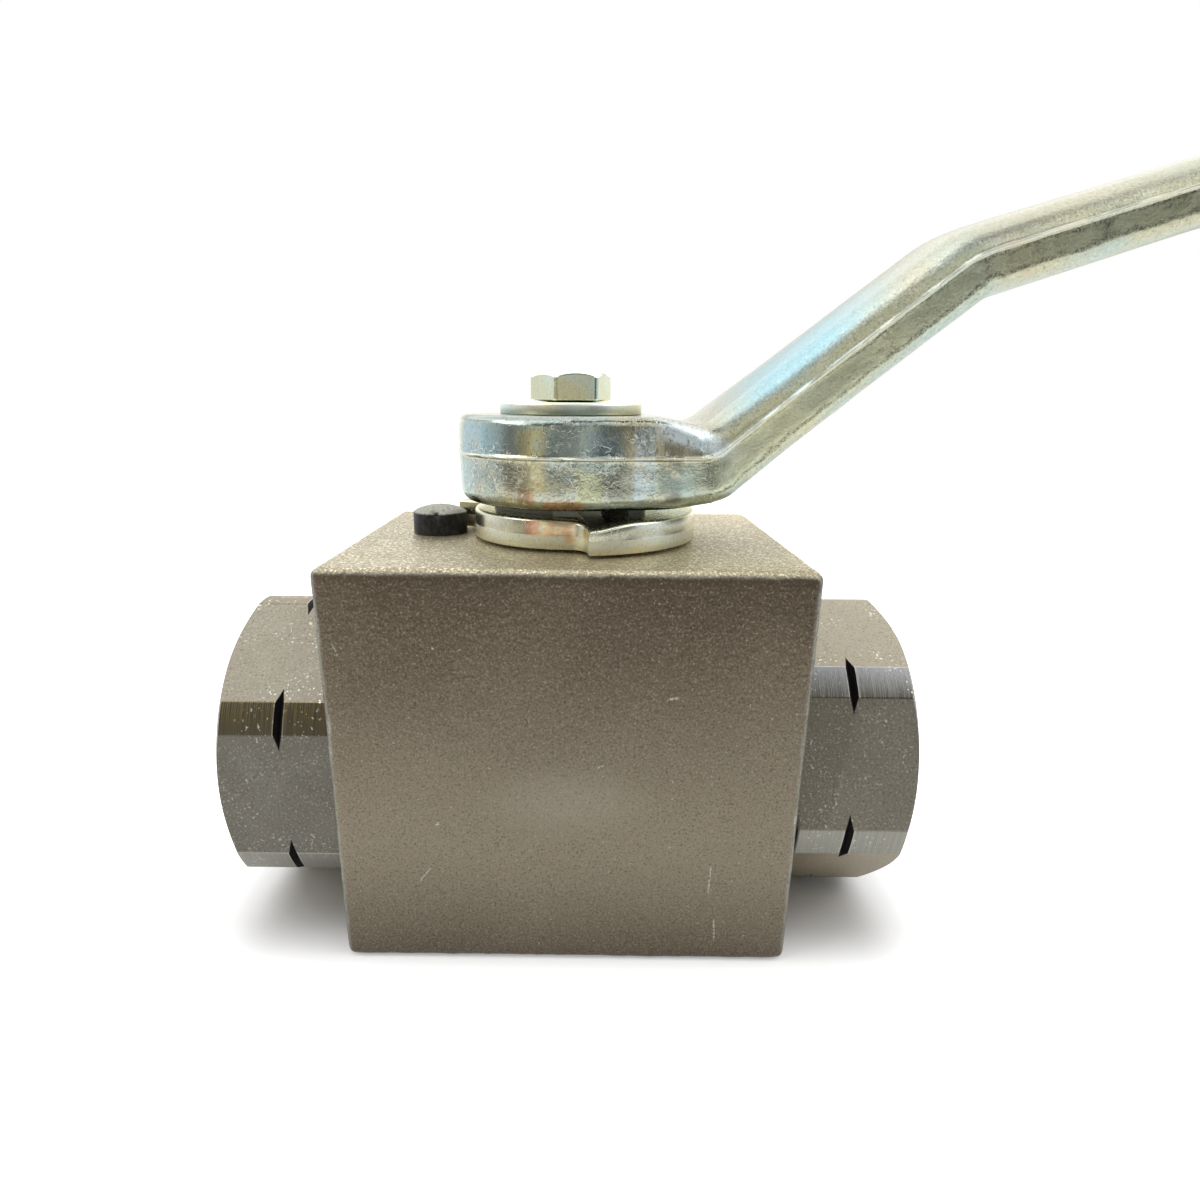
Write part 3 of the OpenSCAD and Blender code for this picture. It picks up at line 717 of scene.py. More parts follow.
def block_mesh(material):
    """The block with rough rounded edges and faint waves, bored for its adapters, ball, stem and pin."""
    edge_r = 1.2
    cell = 1.0
    half = [side / 2 for side in BLOCK]
    inner = [h - edge_r for h in half]

    def grid_line(h):
        """Places across a face: even cells over the flat, and three steps round the edge on each side."""
        count = round(2 * (h - edge_r) / cell)
        flat = [-(h - edge_r) + 2 * (h - edge_r) * k / count for k in range(count + 1)]
        turn = [h - edge_r + edge_r * tan(radians(15 * k)) for k in (1, 2, 3)]
        return [-v for v in reversed(turn)] + flat + turn

    def on_surface(q):
        """Where a point of the sharp box lies on the rounded one, with waves, rougher edges and dings."""
        near = [max(-inner[i], min(inner[i], q[i])) for i in range(3)]
        out = Vector([q[i] - near[i] for i in range(3)]).normalized()
        p = Vector(near) + edge_r * out
        relief = 0.035 * wave(p, 2.2, 1.7) + 0.03 * wave(p, 5.5, 4.1) - 0.04
        on_edge = sum(abs(v) > 0.25 for v in out) > 1
        if on_edge:
            relief = relief + 0.09 * wave(p, 1.3, 9.3) - 0.06
        relief = min(0.0, relief)
        for (x, y, z), r, depth in DINGS:
            gap = (p - Vector((x, y, z - half[2]))).length
            relief = relief - depth * smooth(1 - gap / r)
        return p + relief * out

    points = []
    faces = []
    for axis in range(3):
        a_axis = (axis + 1) % 3
        b_axis = (axis + 2) % 3
        a_line = grid_line(half[a_axis])
        b_line = grid_line(half[b_axis])
        for side in (-1, 1):
            start = len(points)
            for a in a_line:
                for b in b_line:
                    q = [0.0, 0.0, 0.0]
                    q[axis] = side * half[axis]
                    q[a_axis] = a
                    q[b_axis] = b
                    points.append(on_surface(q))
            for i in range(len(a_line) - 1):
                for k in range(len(b_line) - 1):
                    c = start + i * len(b_line) + k
                    faces.append((c, c + 1, c + len(b_line) + 1, c + len(b_line)))
    points = [(p[0], p[1], max(0.0, p[2] + half[2])) for p in points]
    block = add_piece("block", points, faces, material, "housing", ["body"], sharp=50)
    cut(block, block_bores(), sharp=50)


def block_bores():
    """The ball's chamber, a threaded bore for each adapter, the way to the rear one, the stem's bore with its
    wide foot for the collar, and the pin's hole."""
    chamber_r = 17.8
    thread_r = 19.0
    thread_from = 19.5
    rear_r = 13.7
    collar_r = 11.0
    collar_top = 45.42
    stem_from = 40.0
    over = 2.0
    side = BLOCK[0] / 2 + over
    top = BLOCK[2] + over
    return [rod(chamber_r, (-thread_from, 0, PORT_Z), (thread_from, 0, PORT_Z)),
            rod(thread_r, (-side, 0, PORT_Z), (-thread_from, 0, PORT_Z)),
            rod(thread_r, (thread_from, 0, PORT_Z), (side, 0, PORT_Z)),
            rod(rear_r, (0, 0, PORT_Z), (0, thread_from + 1, PORT_Z)),
            rod(thread_r, (0, thread_from, PORT_Z), (0, BLOCK[1] / 2 + over, PORT_Z)),
            rod(collar_r, (0, 0, PORT_Z), (0, 0, collar_top)),
            rod(STEM_HOLE_R, (0, 0, stem_from), (0, 0, top)),
            rod(PIN_R + 0.02, (*PIN_AT, BLOCK[2] - PIN_DEEP), (*PIN_AT, top))]


# The lever

HUB_R = 16.0
HUB_Z = 61.5
HUB_T = 11.8
LEVER_MID = HUB_Z + HUB_T / 2
ARM_SLOPE = radians(38)
GRIP_SLOPE = radians(17)
BEND_1 = 19.1
BEND_2 = 50.4
REACH = 174.55
ARM_LENGTH = (BEND_2 - BEND_1) / cos(ARM_SLOPE)
CORNER_2 = BEND_1 + ARM_LENGTH
LEVER_END = CORNER_2 + (REACH - BEND_2) / cos(GRIP_SLOPE)
PARTING = 0.8
RIDGE = 0.20
TIP_ROUND = 9.0


def half_width(s):
    """Half the lever's width at distance s from the stem axis, along its middle line."""
    circle = sqrt(max(0.0, HUB_R ** 2 - s ** 2))
    neck = lerp(14.85, 10.0, smooth((s - 2) / 42)) + 1.0 * smooth((s - 74) / 40)
    arm = neck * smooth((s + 9) / 12)
    return (circle + arm + sqrt((circle - arm) ** 2 + 0.36)) / 2 - 0.3 * (1 - smooth((s + 16) / 8))


def half_thickness(s):
    neck = lerp(4.9, 3.5, smooth((s - 2) / 139))
    return lerp(HUB_T / 2, neck, smooth((s - 11) / 7))


def tip_thinning(s):
    """Thins the last stretch of the grip as a quarter circle."""
    share = (s - LEVER_END + TIP_ROUND) / TIP_ROUND
    return sqrt(max(0.06, 1 - max(0.0, share) ** 2))


def lever_outline():
    """Half the straightened lever's outline, (s, width, inward normal), from the hub to the grip's end."""
    flat = []
    for k in range(52):
        s, w = polar(HUB_R, radians(180 - 2.1 * k))
        flat.append((s, w if s < 0 else half_width(s)))
    s = flat[-1][0]
    while s < LEVER_END - TIP_ROUND - 1.2:
        s = s + (0.55 if s < 66 else 1.4)
        flat.append((s, half_width(s)))
    start = LEVER_END - TIP_ROUND
    tip_w = half_width(start) - TIP_ROUND
    for k in range(19):
        a = radians(5 * k)
        flat.append((start + TIP_ROUND * sin(a), tip_w + TIP_ROUND * cos(a)))
    flat.append((LEVER_END, tip_w / 2))
    flat.append((LEVER_END, 0.0))
    outline = []
    for k, (s, w) in enumerate(flat):
        before = flat[max(0, k - 1)]
        after = flat[min(len(flat) - 1, k + 1)]
        ds = after[0] - before[0]
        dw = after[1] - before[1]
        if k == 0:
            ds, dw = 0.0, 1.0
        if k >= len(flat) - 2:
            ds, dw = 0.0, -1.0
        length = hypot(ds, dw)
        outline.append((s, w, dw / length, -ds / length))
    return outline


def side_profile(s):
    """The upper and the lower half of the lever's section, each from the middle of its face over the rounding
    and down the drafted side to the parting line, with how far in the rounding starts. A row is "share" with
    its share of the way out from the middle, height and crown, or "inset" with its distance in and height."""
    t = half_thickness(s)
    arm = smooth((s - 9) / 22)
    top_r = lerp(1.3, 4.0, arm) - 0.9 * smooth((s - 80) / 60)
    low_r = lerp(1.8, 2.6, arm)
    draft = radians(lerp(2.0, 9.0, arm))
    halves = []
    for sign, r in ((1, top_r), (-1, low_r)):
        centre = sign * t - sign * r
        start_h = centre + sign * r * sin(draft)
        edge_in = abs(start_h - PARTING) * tan(draft) + r * cos(draft)
        crown = (0.5 if sign > 0 else 0.25) * arm * (1 - smooth((s - 110) / 60))
        rows = [("share", k / 9, centre + sign * r, crown * sign) for k in range(9)]
        for k in range(7, -1, -1):
            a = lerp(draft, pi / 2, k / 7)
            rows.append(("inset", edge_in - r * cos(a), centre + sign * r * sin(a), 0.0))
        for k in range(1, 6):
            h = lerp(start_h, PARTING + sign * 0.5, k / 5)
            rows.append(("inset", abs(h - PARTING) * tan(draft), h, 0.0))
        rows.append(("inset", 0.0, PARTING + sign * 0.26, 0.0))
        rows.append(("inset", -0.6 * RIDGE, PARTING + sign * 0.15, 0.0))
        halves.append((rows, edge_in))
    return halves


def bend(s, n):
    """Where a point of the straightened lever goes: s along it and n above its middle line give (x, z)."""
    half_1 = 3.2
    half_2 = 4.5
    straight_to = 10.0
    r1 = 5.2 - 0.15 * n
    r2 = 11 + 1.0 * n
    turn_2 = ARM_SLOPE - GRIP_SLOPE
    t1 = r1 * tan(ARM_SLOPE / 2)
    t2 = r2 * tan(turn_2 / 2)
    k1 = Vector((BEND_1 - n * tan(ARM_SLOPE / 2), LEVER_MID + n))
    up = Vector((cos(ARM_SLOPE), sin(ARM_SLOPE)))
    on = Vector((cos(GRIP_SLOPE), sin(GRIP_SLOPE)))
    middle_2 = Vector((BEND_2, LEVER_MID + (BEND_2 - BEND_1) * tan(ARM_SLOPE)))
    mean = (ARM_SLOPE + GRIP_SLOPE) / 2
    k2 = middle_2 + n / cos(turn_2 / 2) * Vector((-sin(mean), cos(mean)))
    if s <= straight_to:
        return s, LEVER_MID + n
    if s < BEND_1 - half_1:
        share = (s - straight_to) / (BEND_1 - half_1 - straight_to)
        return lerp(straight_to, k1[0] - t1, share), LEVER_MID + n
    if s < BEND_1 + half_1:
        a = ARM_SLOPE * (s - BEND_1 + half_1) / (2 * half_1)
        return k1[0] - t1 + r1 * sin(a), k1[1] + r1 * (1 - cos(a))
    first = k1 + t1 * up
    second = k2 - t2 * up
    if s < CORNER_2 - half_2:
        share = (s - BEND_1 - half_1) / (CORNER_2 - half_2 - BEND_1 - half_1)
        return tuple(first.lerp(second, share))
    if s < CORNER_2 + half_2:
        a = turn_2 * (s - CORNER_2 + half_2) / (2 * half_2)
        centre = second + r2 * Vector((sin(ARM_SLOPE), -cos(ARM_SLOPE)))
        angle = ARM_SLOPE - a
        return centre[0] - r2 * sin(angle), centre[1] + r2 * cos(angle)
    off = n * Vector((-sin(GRIP_SLOPE), cos(GRIP_SLOPE)))
    end = middle_2 + (REACH - BEND_2) / cos(GRIP_SLOPE) * on + off
    share = (s - CORNER_2 - half_2) / (LEVER_END - CORNER_2 - half_2)
    return tuple((k2 + t2 * on).lerp(end, share))


def square_hole(a):
    """A point on the edge of the stem's hole, which is square with its corners cut round."""
    return polar(min(STEM_HOLE_R, SQUARE_HALF / max(abs(cos(a)), abs(sin(a)))), a)


def lever_ring(s, w, ns, nw):
    """A ring round the straightened lever at one place of its outline, with points (s, y, n)."""
    (top, top_in), (low, low_in) = side_profile(s)
    shake = 1 + 0.9 * wave((s, w, 0), 3.0, 5.5)
    ridge = [("inset", -RIDGE, PARTING, 0.0)]
    half = []
    for rows, edge_in, step_in in ((top, top_in, 0.0), (ridge, 0.0, 0.0), (low[::-1], low_in, 0.05)):
        for kind, a, n, crown in rows:
            if kind == "share":
                half.append((s + edge_in * ns, max(0.0, w + edge_in * nw) * a, n + crown * (1 - a ** 2)))
            else:
                d = a * shake if a < 0 else a + step_in
                half.append((s + d * ns, max(0.0, w + d * nw), n))
    return half + [(ps, -py, n) for ps, py, n in reversed(half[1:-1])]


def lever_mesh(material):
    """The forged lever: hub, neck, cranked arm and grip in one skin, with a raised line where the dies met."""
    rings = [lever_ring(*place) for place in lever_outline()]
    count = len(rings[0])
    points = []
    crest = []
    for ring in rings:
        for s, y, n in ring:
            crest.append(smooth(1.6 - abs(n - PARTING) / 0.16))
            relief = 0.05 * wave((s, y, 2 * n), 2.2, 3.3) + 0.09 * wave((s, y, n), 6.0, 8.1)
            x, z = bend(s, n * tip_thinning(s))
            grow = 1 + relief / 10
            points.append((x, y * grow, z + relief * 0.5 * (1 if n > 0 else -1)))
    lever = add_piece("lever_forged", points, ring_faces(len(rings), count), material, "handle", ["lever"],
                      sharp=60, crest=crest)
    steps = 96
    hole = [(*square_hole(a), z) for z in (HUB_Z - 2, HUB_Z + HUB_T + 2) for a in angles(steps)]
    cut(lever, [cutter(hole, ring_faces(2, steps, caps=True))], sharp=60)


# Small parts of the handle and the stop

DISC_Z = 56.4
DISC_T = 4.0
DISC_TORN = 0.46 * DISC_T
DISC_R = 18.2
NOTCH_R = 14.0
NOTCH_FROM = 162.4
NOTCH_TO = 278.5
NOTCH_FILLET = 2.5
WASHER_T = 1.6
SHANK_R = 2.95


def disc_outline():
    """Outline of the stop disc, counter-clockwise, with the round inner corner of its step."""
    side = degrees(asin(NOTCH_FILLET / (NOTCH_R + NOTCH_FILLET)))
    points = arc(0, 0, DISC_R, NOTCH_TO, NOTCH_FROM + 360, 150)
    points += arc(0, 0, NOTCH_R, NOTCH_FROM, NOTCH_TO - side, 70)
    x, y = polar(NOTCH_R + NOTCH_FILLET, radians(NOTCH_TO - side))
    first = degrees(atan2(-y, -x))
    last = NOTCH_TO + 90 - 360
    sweep = (last - first) % 360
    if sweep > 180:
        sweep = sweep - 360
    return points + arc(x, y, NOTCH_FILLET, first, first + sweep, 8)[1:]


def inset(outline, d):
    """The outline moved inwards by d, with its corners mitred."""
    moved = []
    count = len(outline)
    for k, p in enumerate(outline):
        before = Vector(p) - Vector(outline[k - 1])
        after = Vector(outline[(k + 1) % count]) - Vector(p)
        if before.length < 1e-6:
            before = after
        if after.length < 1e-6:
            after = before
        a = Vector((-before[1], before[0])).normalized()
        b = Vector((-after[1], after[0])).normalized()
        mid = (a + b).normalized()
        reach = d / max(0.4, mid.dot(a))
        moved.append((p[0] + mid[0] * reach, p[1] + mid[1] * reach))
    return moved


def disc_levels():
    """Heights up the disc's edge, each with how far it stands in: torn below, then burnished, then rolled."""
    torn = DISC_TORN
    burnished = 0.04
    roll = 0.5
    levels = [(0.0, 0.12), (0.10, 0.03), (0.5 * torn, 0.01), (torn - 0.1, 0.0), (torn + 0.05, 0.035)]
    levels += [(lerp(torn + 0.2, DISC_T - roll, k / 3), burnished) for k in (0, 1, 2)]
    return levels + [(z, burnished + roll - r) for r, z in arc(0, DISC_T - roll, roll, 0, 90, 6)]


def stop_disc(material):
    """The disc as the press left it, with its upper edge drawn down at the step."""
    dip_at = polar(DISC_R, radians(NOTCH_TO))
    dip = 0.9
    dip_reach = 9.0
    outline = disc_outline()
    rings = []
    for height, d in disc_levels():
        ring = []
        for x, y in inset(outline, d):
            grow = 1 + 0.02 * wave((x, y, height), 1.6, 2.9) / hypot(x, y)
            near = smooth(1 - dist((x, y), dip_at) / dip_reach) ** 2
            ring.append((x * grow, y * grow, DISC_Z + height - dip * near * smooth(height / DISC_T)))
        rings.append(ring)
    for height in (DISC_T, 0.0):
        rings.append([(*square_hole(atan2(y, x)), DISC_Z + height) for x, y in outline])
    points = [p for ring in rings for p in ring]
    faces = ring_faces(len(rings), len(outline), closed=True)
    add_piece("stop_disc_blanked", points, faces, material, "handle", ["stop_disc"], sharp=50)


def washer(material):
    r_in = 3.3
    r_out = 10.0
    z = HUB_Z + HUB_T
    t = WASHER_T
    roll = 0.45
    burr = 0.12
    uneven = 0.0012
    profile = [(r_in, z), (r_out - burr, z), (r_out, z + burr), (r_out, z + t - roll)]
    profile += arc(r_out - roll, z + t - roll, roll, 0, 90, 6)[1:]
    profile += [(lerp(r_out - roll, r_in + 0.2, k / 4), z + t) for k in (1, 2, 3)]
    profile += [(r_in + 0.2, z + t), (r_in, z + t - 0.2)]
    points, faces = turned(profile, 160)
    points = [(x * (1 + uneven * wave((x, y, z), 3, 1)), y * (1 + uneven * wave((x, y, z), 3, 2)), z)
              for x, y, z in points]
    add_piece("washer_pressed", points, faces, material, "handle", ["washer"], sharp=50)


def bolt(material):
    """Hexagon bolt: chamfered head with slightly round corners, and a shank with its thread."""
    z = HUB_Z + HUB_T + WASHER_T
    flats = 10.0
    height = 3.9
    turn = radians(9.5)
    collar = 0.25
    crown_r = 0.93 * flats / 2
    around = [turn + a for a in angles(180)]

    def hexagon(a):
        off = (a - turn) % (pi / 3) - pi / 6
        corner = flats / 2 / cos(pi / 6) - 0.08
        return min(flats / 2 / cos(off), corner)

    def head_top(r):
        return z + height - max(0.0, r - crown_r) * tan(radians(30))

    rings = bolt_shank(z, around)
    rings.append([(*polar(SHANK_R, a), z) for a in around])
    rings.append([(*polar(hexagon(a) - 0.15, a), z + collar) for a in around])
    rings.append([(*polar(hexagon(a), a), z + collar + 0.15) for a in around])
    rings.append([(*polar(hexagon(a), a), head_top(hexagon(a)) - 0.12) for a in around])
    for share in (0.03, 0.25, 0.5, 0.75, 1.0):
        bevel = [lerp(hexagon(a) - 0.08, crown_r - 0.05, share) for a in around]
        rings.append([(*polar(r, a), head_top(r) - 0.02) for r, a in zip(bevel, around)])
    for r, drop in ((crown_r - 0.4, 0.0), (2.8, 0.04), (1.4, 0.1), (0.0, 0.12)):
        rings.append([(*polar(r, a), z + height - drop) for a in around])
    points = [p for ring in rings for p in ring]
    faces = ring_faces(len(rings), len(around))
    faces.append(tuple(range(len(around))))
    add_piece("bolt_headed", points, faces, material, "handle", ["bolt"], sharp=28)


def bolt_shank(z, around):
    """Rings of the threaded shank from its end up to z. The thread fades out at both ends."""
    pitch = 1.0
    length = 16.0
    deep = 0.54
    tip = 0.5
    rows = int(length / pitch * 8)
    shank = []
    for k in range(rows, -1, -1):
        down = length * k / rows
        fade = smooth(down / 1.5) * smooth((length - down) / 0.8)
        chamfer = 0.5 * (1 - smooth((length - down) / tip))
        ring = []
        for i, a in enumerate(around):
            tooth = abs(2 * ((down / pitch + i / len(around)) % 1) - 1)
            r = SHANK_R - deep * max(0.0, min(1.0, 1.25 * tooth - 0.12)) * fade - chamfer
            ring.append((*polar(r, a), z + 0.001 - down))
        shank.append(ring)
    return shank


def stop_pin(material):
    """The pin, with the crown of its end and the chip in its rim."""
    r = PIN_R
    top = BLOCK[2] + 4.2
    low = BLOCK[2] - PIN_DEEP
    foot = 0.5
    edge = 0.22
    dome = 1.0
    dome_r = (r ** 2 + dome ** 2) / (2 * dome)
    rim = top - dome
    rings = [(0.0, low), (r - foot, low), (r, low + foot), (r, BLOCK[2] + 0.5)]
    rings += [(r, lerp(BLOCK[2] + 0.5, rim - edge, k / 5)) for k in range(1, 6)]
    rings += arc(r - edge, rim - edge, edge, 0, 90, 3)[1:]
    for share in (0.93, 0.85, 0.7, 0.5, 0.25, 0.0):
        rings.append((share * (r - edge), top - dome_r + sqrt(dome_r ** 2 - (share * (r - edge)) ** 2)))
    count = 120
    chip_at = Vector((0.0, -r, rim + 0.1))
    points = []
    for radius, z in rings:
        for a in angles(count):
            p = Vector((*polar(radius, a), z))
            if z > BLOCK[2]:
                gap = (p - chip_at).length
                bite = 0.55 * smooth(1.2 - gap / 1.1) * (0.7 + 0.6 * wave(p, 0.5, 3.0))
                wear = 0.05 * wave(p, 1.1, 6.2)
                out = Vector((p[0], p[1], 0)).normalized() if radius > 3.5 else Vector((0, 0, 1))
                p = p + out * (wear * (z < top - 0.5) - bite) - Vector((0, 0, 0.6 * bite))
            points.append((p[0] + PIN_AT[0], p[1] + PIN_AT[1], p[2]))
    faces = ring_faces(len(rings), count)
    add_piece("stop_pin_worn", points, faces, material, "housing", ["stop_pin"], sharp=50)


def retaining_ring(material):
    """Spring ring with a plier hole in each lug, and softly broken edges."""
    ring = bpy.data.objects.new("retaining_ring_soft", frame["nodes"]["retaining_ring"].data.copy())
    bpy.context.scene.collection.objects.link(ring)
    weld(ring, 2e-6)
    edge = ring.modifiers.new("edge", "BEVEL")
    edge.width = 0.1 * MM
    edge.segments = 2
    edge.limit_method = "ANGLE"
    edge.angle_limit = radians(50)
    ring.data.materials.clear()
    ring.data.materials.append(material)
    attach(ring, "handle")
    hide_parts("retaining_ring")


# The port adapters

def adapter(side, axis, corner, place, material):
    """An adapter turned from hexagon bar. axis is its port's, 0 for X or 1 for Y, corner is the angle of a
    hexagon corner, and place moves a point from the adapter's own axis into the valve."""
    shoulder = BLOCK[axis] / 2
    top = shoulder + ADAPTER_REACH
    chamfer = 1.4
    slope = tan(radians(30))
    mark = shoulder + MARK_FROM
    r = HEX_TURNED_R
    nose_r = 13.4
    nose_end = 14.0
    nose_root = 19.5
    thread_r = 18.95
    neck_r = 17.15
    neck_from = shoulder - 2.6
    neck_to = shoulder - 0.3
    outside = [(nose_r, nose_end), (nose_r, nose_root), (thread_r, nose_root), (thread_r, neck_from),
               (neck_r, neck_from), (neck_r, neck_to), (thread_r, neck_to), (thread_r, shoulder),
               (r - chamfer, shoulder), (r, shoulder + chamfer * slope), (r, mark),
               (r - MARK_DEPTH, mark + MARK_W / 2), (r, mark + MARK_W), (r, top - (r - END_R) * slope),
               (END_R + 0.12, top - 0.07), (END_R - 0.15, top)]
    port_r = 13.35
    port_floor = top - 16.5
    way_r = 10.0
    groove_in = 11.11
    groove_out = 12.37
    groove_floor = 18.2
    seat_r = 12.4
    seat_floor = 17.0
    inside = [(port_r + 1.2, top), (port_r + 0.95, top - 0.05), (port_r, top - 1.0), (port_r, port_floor),
              (way_r, port_floor - 1.5), (way_r, seat_floor), (groove_in, seat_floor),
              (groove_in, groove_floor), (groove_out, groove_floor), (groove_out, seat_floor),
              (seat_r, seat_floor), (seat_r, nose_end)]
    points, faces = turned(outside + inside, 288)
    made = add_piece(f"adapter_{side}_turned", [place(*p) for p in points], faces, material, "housing",
                     [f"adapter_{side}"])
    flat = HEX_FLATS / 2
    beyond = 40.0
    bar = []
    for half, z in ((flat, shoulder - 1), (beyond, shoulder - 1), (beyond, top + 1), (flat, top + 1)):
        bar += [place(*polar(half / cos(radians(30)), radians(corner) + a), z) for a in angles(6)]
    cut(made, [cutter(bar, ring_faces(4, 6, closed=True))], sharp=18)


def port_thread(side, axis, sign, material):
    """Taper pipe thread: one helical ridge on the port's wall, fading out at both ends."""
    pitch = 25.4 / 14
    wall_r = 13.36
    root_r = wall_r + 0.04
    ridge = 1.25
    taper = 1 / 32
    steps = 72
    depth = 14.6
    start = 1.1
    base_half = 0.80
    tip_half = 0.10
    total = int((depth - start) / pitch * steps)
    outward = Vector([sign * (k == axis) for k in range(3)])
    mouth = outward * (BLOCK[axis] / 2 + ADAPTER_REACH) + Vector((0, 0, PORT_Z))
    up = Vector((0, 0, 1))
    across = -outward.cross(up)
    points = []
    for k in range(total + 1):
        a = 2 * pi * k / steps
        along = start + pitch * k / steps
        fade = smooth(k / (0.35 * steps)) * smooth((total - k) / (0.5 * steps))
        tip_r = wall_r - (ridge + along * taper) * max(0.04, fade)
        radial = cos(a) * up + sin(a) * across
        for r, shift in ((root_r, -base_half), (tip_r, -tip_half), (tip_r, tip_half), (root_r, base_half)):
            points.append(mouth + radial * r - outward * (along + shift))
    faces = ring_faces(total + 1, 4, caps=True)
    add_piece(f"thread_{side}", points, faces, material, "housing", sharp=30)


# Stage, light and camera, in metres

def make_world():
    """White to the eye and in the metal, and a soft dim sky as light."""
    world = bpy.data.worlds.new("studio")
    bpy.context.scene.world = world
    world.use_nodes = True
    n = Nodes(world.node_tree)
    n.tree.nodes.clear()
    soft = n.add("Background", {"Strength": 0.42})
    white = n.add("Background", {"Strength": 1.0, "Color": (1, 1, 1)})
    n.show(n.add("MixShader", {0: n.white_to(0.5), 1: soft, 2: white}), "OutputWorld")


def make_floor():
    """A plain white floor that keeps the shadow and reaches white away from the block."""
    size = 4.0
    sunk = 0.00005
    shadow_half = (0.042, 0.016, 0.0)
    white_from = 0.022
    s = Shader("floor_white", roughness=1.0, colour=(0.77, 0.77, 0.77), specular=0.0)
    beside = s.add("VectorMath", {0: s.place}, operation="ABSOLUTE")
    beside = s.add("VectorMath", {0: beside, 1: shadow_half}, operation="SUBTRACT")
    beside = s.add("VectorMath", {0: beside, 1: (0.0, 0.0, 0.0)}, operation="MAXIMUM")
    distance = s.add("VectorMath", {0: beside}, "Value", operation="LENGTH")
    strength = s.white_to(0.15) * s.step(distance, 0.0, white_from, 0.0, 0.95)
    glow = s.add("Emission", {"Color": (1, 1, 1), "Strength": strength})
    both = s.add("AddShader", {0: Value(s, s.bsdf.outputs[0]), 1: glow})
    s.feed(s.tree.nodes["Material Output"].inputs["Surface"], both)
    corners = [(-size, -size, 0), (size, -size, 0), (size, size, 0), (-size, size, 0)]
    floor = new_object("floor", corners, [(0, 1, 2, 3)], unit=1)
    floor.location.z = -sunk
    floor.data.materials.append(s.material)


def look_at(place, aim, front):
    """The rotation that turns a thing's front axis towards the aim."""
    return (Vector(aim) - Vector(place)).to_track_quat(front, "Y").to_euler()


def area_light(name, place, aim, size, power, colour=(1, 1, 1)):
    lamp = bpy.data.lights.new(name, "AREA")
    lamp.shape = "RECTANGLE"
    lamp.size = size[0]
    lamp.size_y = size[1]
    lamp.energy = power
    lamp.color = colour
    holder = bpy.data.objects.new(name, lamp)
    holder.location = place
    holder.rotation_euler = look_at(place, aim, "-Z")
    holder.visible_camera = False
    bpy.context.scene.collection.objects.link(holder)


def glow_nodes(name):
    """An empty material, and its nodes."""
    material = bpy.data.materials.new(name)
    material.use_nodes = True
    material.node_tree.nodes.clear()
    return material, Nodes(material.node_tree)


def seen_by_metal(thing, material):
    """Metal shows it, but the camera doesn't, and it neither lights nor shades the object."""
    thing.data.materials.append(material)
    thing.visible_camera = False
    thing.visible_diffuse = False
    thing.visible_shadow = False


# What the wall shows by direction: degrees from the front towards the right, grey, and how cool it is
SURROUND = ((-150, 1.0, 0.0), (-128, 0.92, 0.06), (-102, 0.88, 0.05), (-84, 0.55, 0.03), (-70, 0.42, 0.02),
            (-64, 0.19, 0.0), (-50, 0.15, 0.0), (-43, 0.40, -0.10), (-36, 0.64, -0.16), (-26, 0.58, -0.14),
            (-19, 0.26, 0.0), (2, 0.25, 0.0), (7, 0.52, -0.04), (20, 0.52, -0.04), (28, 0.11, 0.02),
            (56, 0.11, 0.02), (64, 0.75, 0.12), (88, 0.75, 0.12), (97, 0.14, 0.0), (120, 0.16, 0.0),
            (130, 0.90, -0.04))


def make_surround():
    """The room that the metal shows: a low wall round the stage whose grey changes with the direction, over a
    pale foot."""
    r = 0.30
    low = 0.013
    foot = 0.018
    high = 0.20
    count = 90
    reach = radians(142)
    turns = [reach * (2 * k / count - 1) for k in range(count + 1)]
    points = [(r * sin(a), -r * cos(a), z) for a in turns for z in (low, high)]
    faces = [(2 * k, 2 * k + 1, 2 * k + 3, 2 * k + 2) for k in range(count)]
    material, n = glow_nodes("surround")
    x, y, z = n.split(n.add("TexCoord", {}, "Object"))
    direction = n.maths("ARCTAN2", x, y * -1)
    share = n.add("MapRange", {"Value": direction, "From Min": -pi, "From Max": pi}, "Result")
    ramp = n.tree.nodes.new("ShaderNodeValToRGB")
    ramp.color_ramp.interpolation = "EASE"
    stops = ramp.color_ramp.elements
    for stop in stops:
        stop.color = (1, 1, 1, 1)
    for azimuth, grey, cool in SURROUND:
        stop = stops.new(azimuth / 360 + 0.5)
        stop.color = (grey * (1 - cool), grey, grey * (1 + 2 * cool), 1)
    n.feed(ramp.inputs["Fac"], share)
    tone = n.mix(n.step(z, low, foot), (0.75, 0.74, 0.68), Value(n, ramp.outputs["Color"]))
    n.show(n.add("Emission", {"Color": tone}))
    seen_by_metal(new_object("surround", points, faces, unit=1), material)


def dark_card(name, place, aim, size, grey):
    """A dark card that only the metal shows."""
    w, h = size[0] / 2, size[1] / 2
    card = new_object(name, [(-w, -h, 0), (w, -h, 0), (w, h, 0), (-w, h, 0)], [(0, 1, 2, 3)], unit=1)
    card.location = place
    card.rotation_euler = look_at(place, aim, "Z")
    material, n = glow_nodes(name)
    n.show(n.add("Emission", {"Color": (grey, grey, grey)}))
    seen_by_metal(card, material)


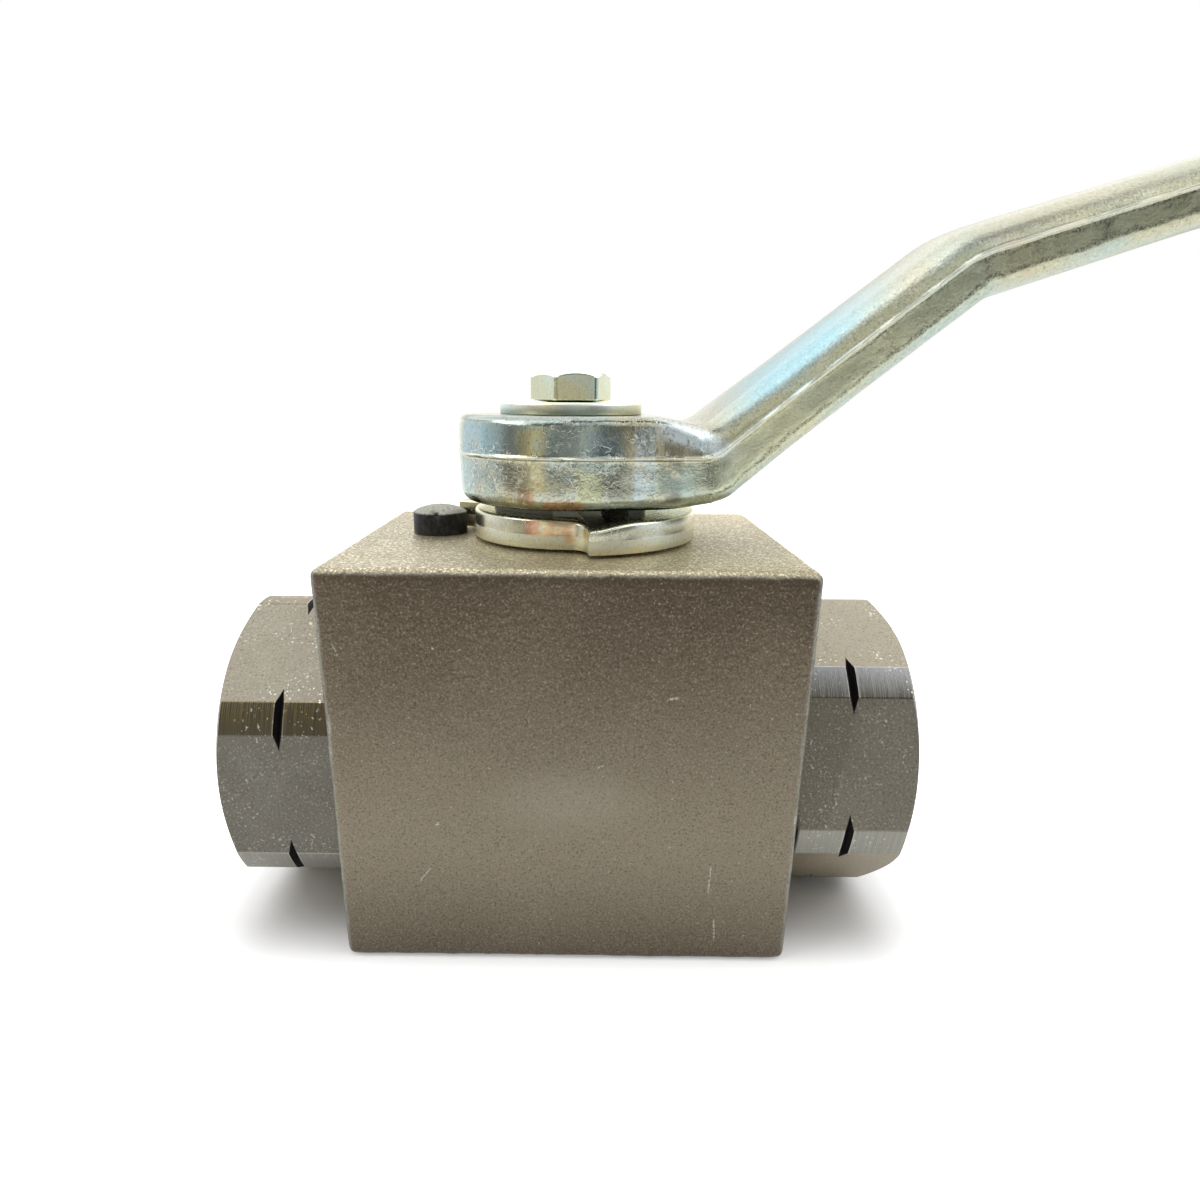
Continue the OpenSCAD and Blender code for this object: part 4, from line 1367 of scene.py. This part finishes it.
def make_light():
    """A broad lamp overhead, softer ones from the sides and the back, and what only the metal shows."""
    middle = (0.0, 0.0, 0.05)
    area_light("lamp_top", (0.05, 0.25, 0.85), middle, (2.4, 1.8), 17.0)
    area_light("lamp_left", (-0.75, -0.25, 0.45), middle, (0.5, 0.7), 2.2)
    area_light("lamp_back", (0.0, 0.9, 0.17), (0.0, 0.0, 0.07), (1.5, 0.34), 1.2, (1.0, 0.95, 0.82))
    area_light("lamp_right", (0.8, -0.1, 0.4), middle, (0.4, 0.6), 1.6)
    make_surround()
    dark_card("card_left", (-0.17, -0.40, 0.36), (-0.04, 0.0, 0.03), (0.30, 0.20), 0.10)
    dark_card("card_right", (0.12, -0.20, 0.56), (0.04, 0.0, 0.03), (0.30, 0.20), 0.10)


def make_camera():
    """The photograph's camera: 1200 pixels square, found by fitting the block's and the adapters' edges."""
    focal_px = 771.70
    centre_px = (578.86, 653.88)
    frame_px = 1200
    yaw = -0.0057
    pitch = 0.3223
    roll = 0.0083
    place = (2.077, -115.02, 75.71)
    camera = bpy.data.cameras.new("camera")
    camera.sensor_width = 36
    camera.lens = focal_px / frame_px * camera.sensor_width
    camera.shift_x = (frame_px / 2 - centre_px[0]) / frame_px
    camera.shift_y = (centre_px[1] - frame_px / 2) / frame_px
    camera.clip_start = 0.005
    camera.clip_end = 20
    forward = Vector((sin(yaw) * cos(pitch), cos(yaw) * cos(pitch), -sin(pitch)))
    level = Vector((cos(yaw), -sin(yaw), 0))
    top = level.cross(forward)
    right = cos(roll) * level + sin(roll) * top
    up = -sin(roll) * level + cos(roll) * top
    holder = bpy.data.objects.new("camera", camera)
    turn = Matrix((right, up, -forward)).transposed().to_4x4()
    holder.matrix_world = Matrix.Translation(Vector(place) * MM) @ turn
    bpy.context.scene.collection.objects.link(holder)
    bpy.context.scene.camera = holder


# The scene

plastic = seat_plastic()
rubber = seal_rubber()
looks = {"ball": ball_chrome(), "stem": ground_steel(), "stem_thrust_washer": plastic}
for node_name in frame["nodes"]:
    if "o_ring" in node_name:
        looks[node_name] = rubber
    elif node_name.startswith("seat_"):
        looks[node_name] = plastic
dress_nodes(looks)

block_mesh(block_steel())
lever_mesh(zinc("forged_zinc", size=1.3, pits=0.026, warm=0.3, speckle=0.5, marks=0.7, tinted_places=HUB_TINTS_AND_PAINTED_REFLECTIONS,
                forged=True))
stop_disc(zinc("disc_zinc", size=0.8, pits=0.008, warm=0.2, speckle=0.3, rough=0.2, tinted_places=DISC_STAINS,
               tones=((0.86, 0.80, 0.56), (0.80, 0.80, 0.63)), matte_below=DISC_Z + DISC_TORN))
washer(zinc("zinc_plate", size=0.8, pits=0.010, warm=0.15, speckle=0.25, rough=0.38,
            tones=((0.86, 0.84, 0.66), (0.80, 0.87, 0.77))))
bolt(zinc("bolt_zinc", size=0.7, pits=0.006, warm=0.2, speckle=0.18, marks=0.08,
          tones=((0.77, 0.75, 0.50), (0.72, 0.85, 0.74))))
stop_pin(black_pin())
retaining_ring(spring_steel())
adapter_x = adapter_steel("adapter_steel_x", 0)
adapter_y = adapter_steel("adapter_steel_y", 1)
adapter("left", 0, -61.2, lambda x, y, z: (-z, y, PORT_Z + x), adapter_x)
adapter("right", 0, 45.8, lambda x, y, z: (z, y, PORT_Z - x), adapter_x)
adapter("rear", 1, -18.0, lambda x, y, z: (x, z, PORT_Z - y), adapter_y)
port_thread("left", 0, -1, adapter_x)
port_thread("right", 0, 1, adapter_x)
port_thread("rear", 1, 1, adapter_y)

make_world()
make_floor()
make_light()
make_camera()
bpy.context.scene.view_settings.view_transform = "Standard"
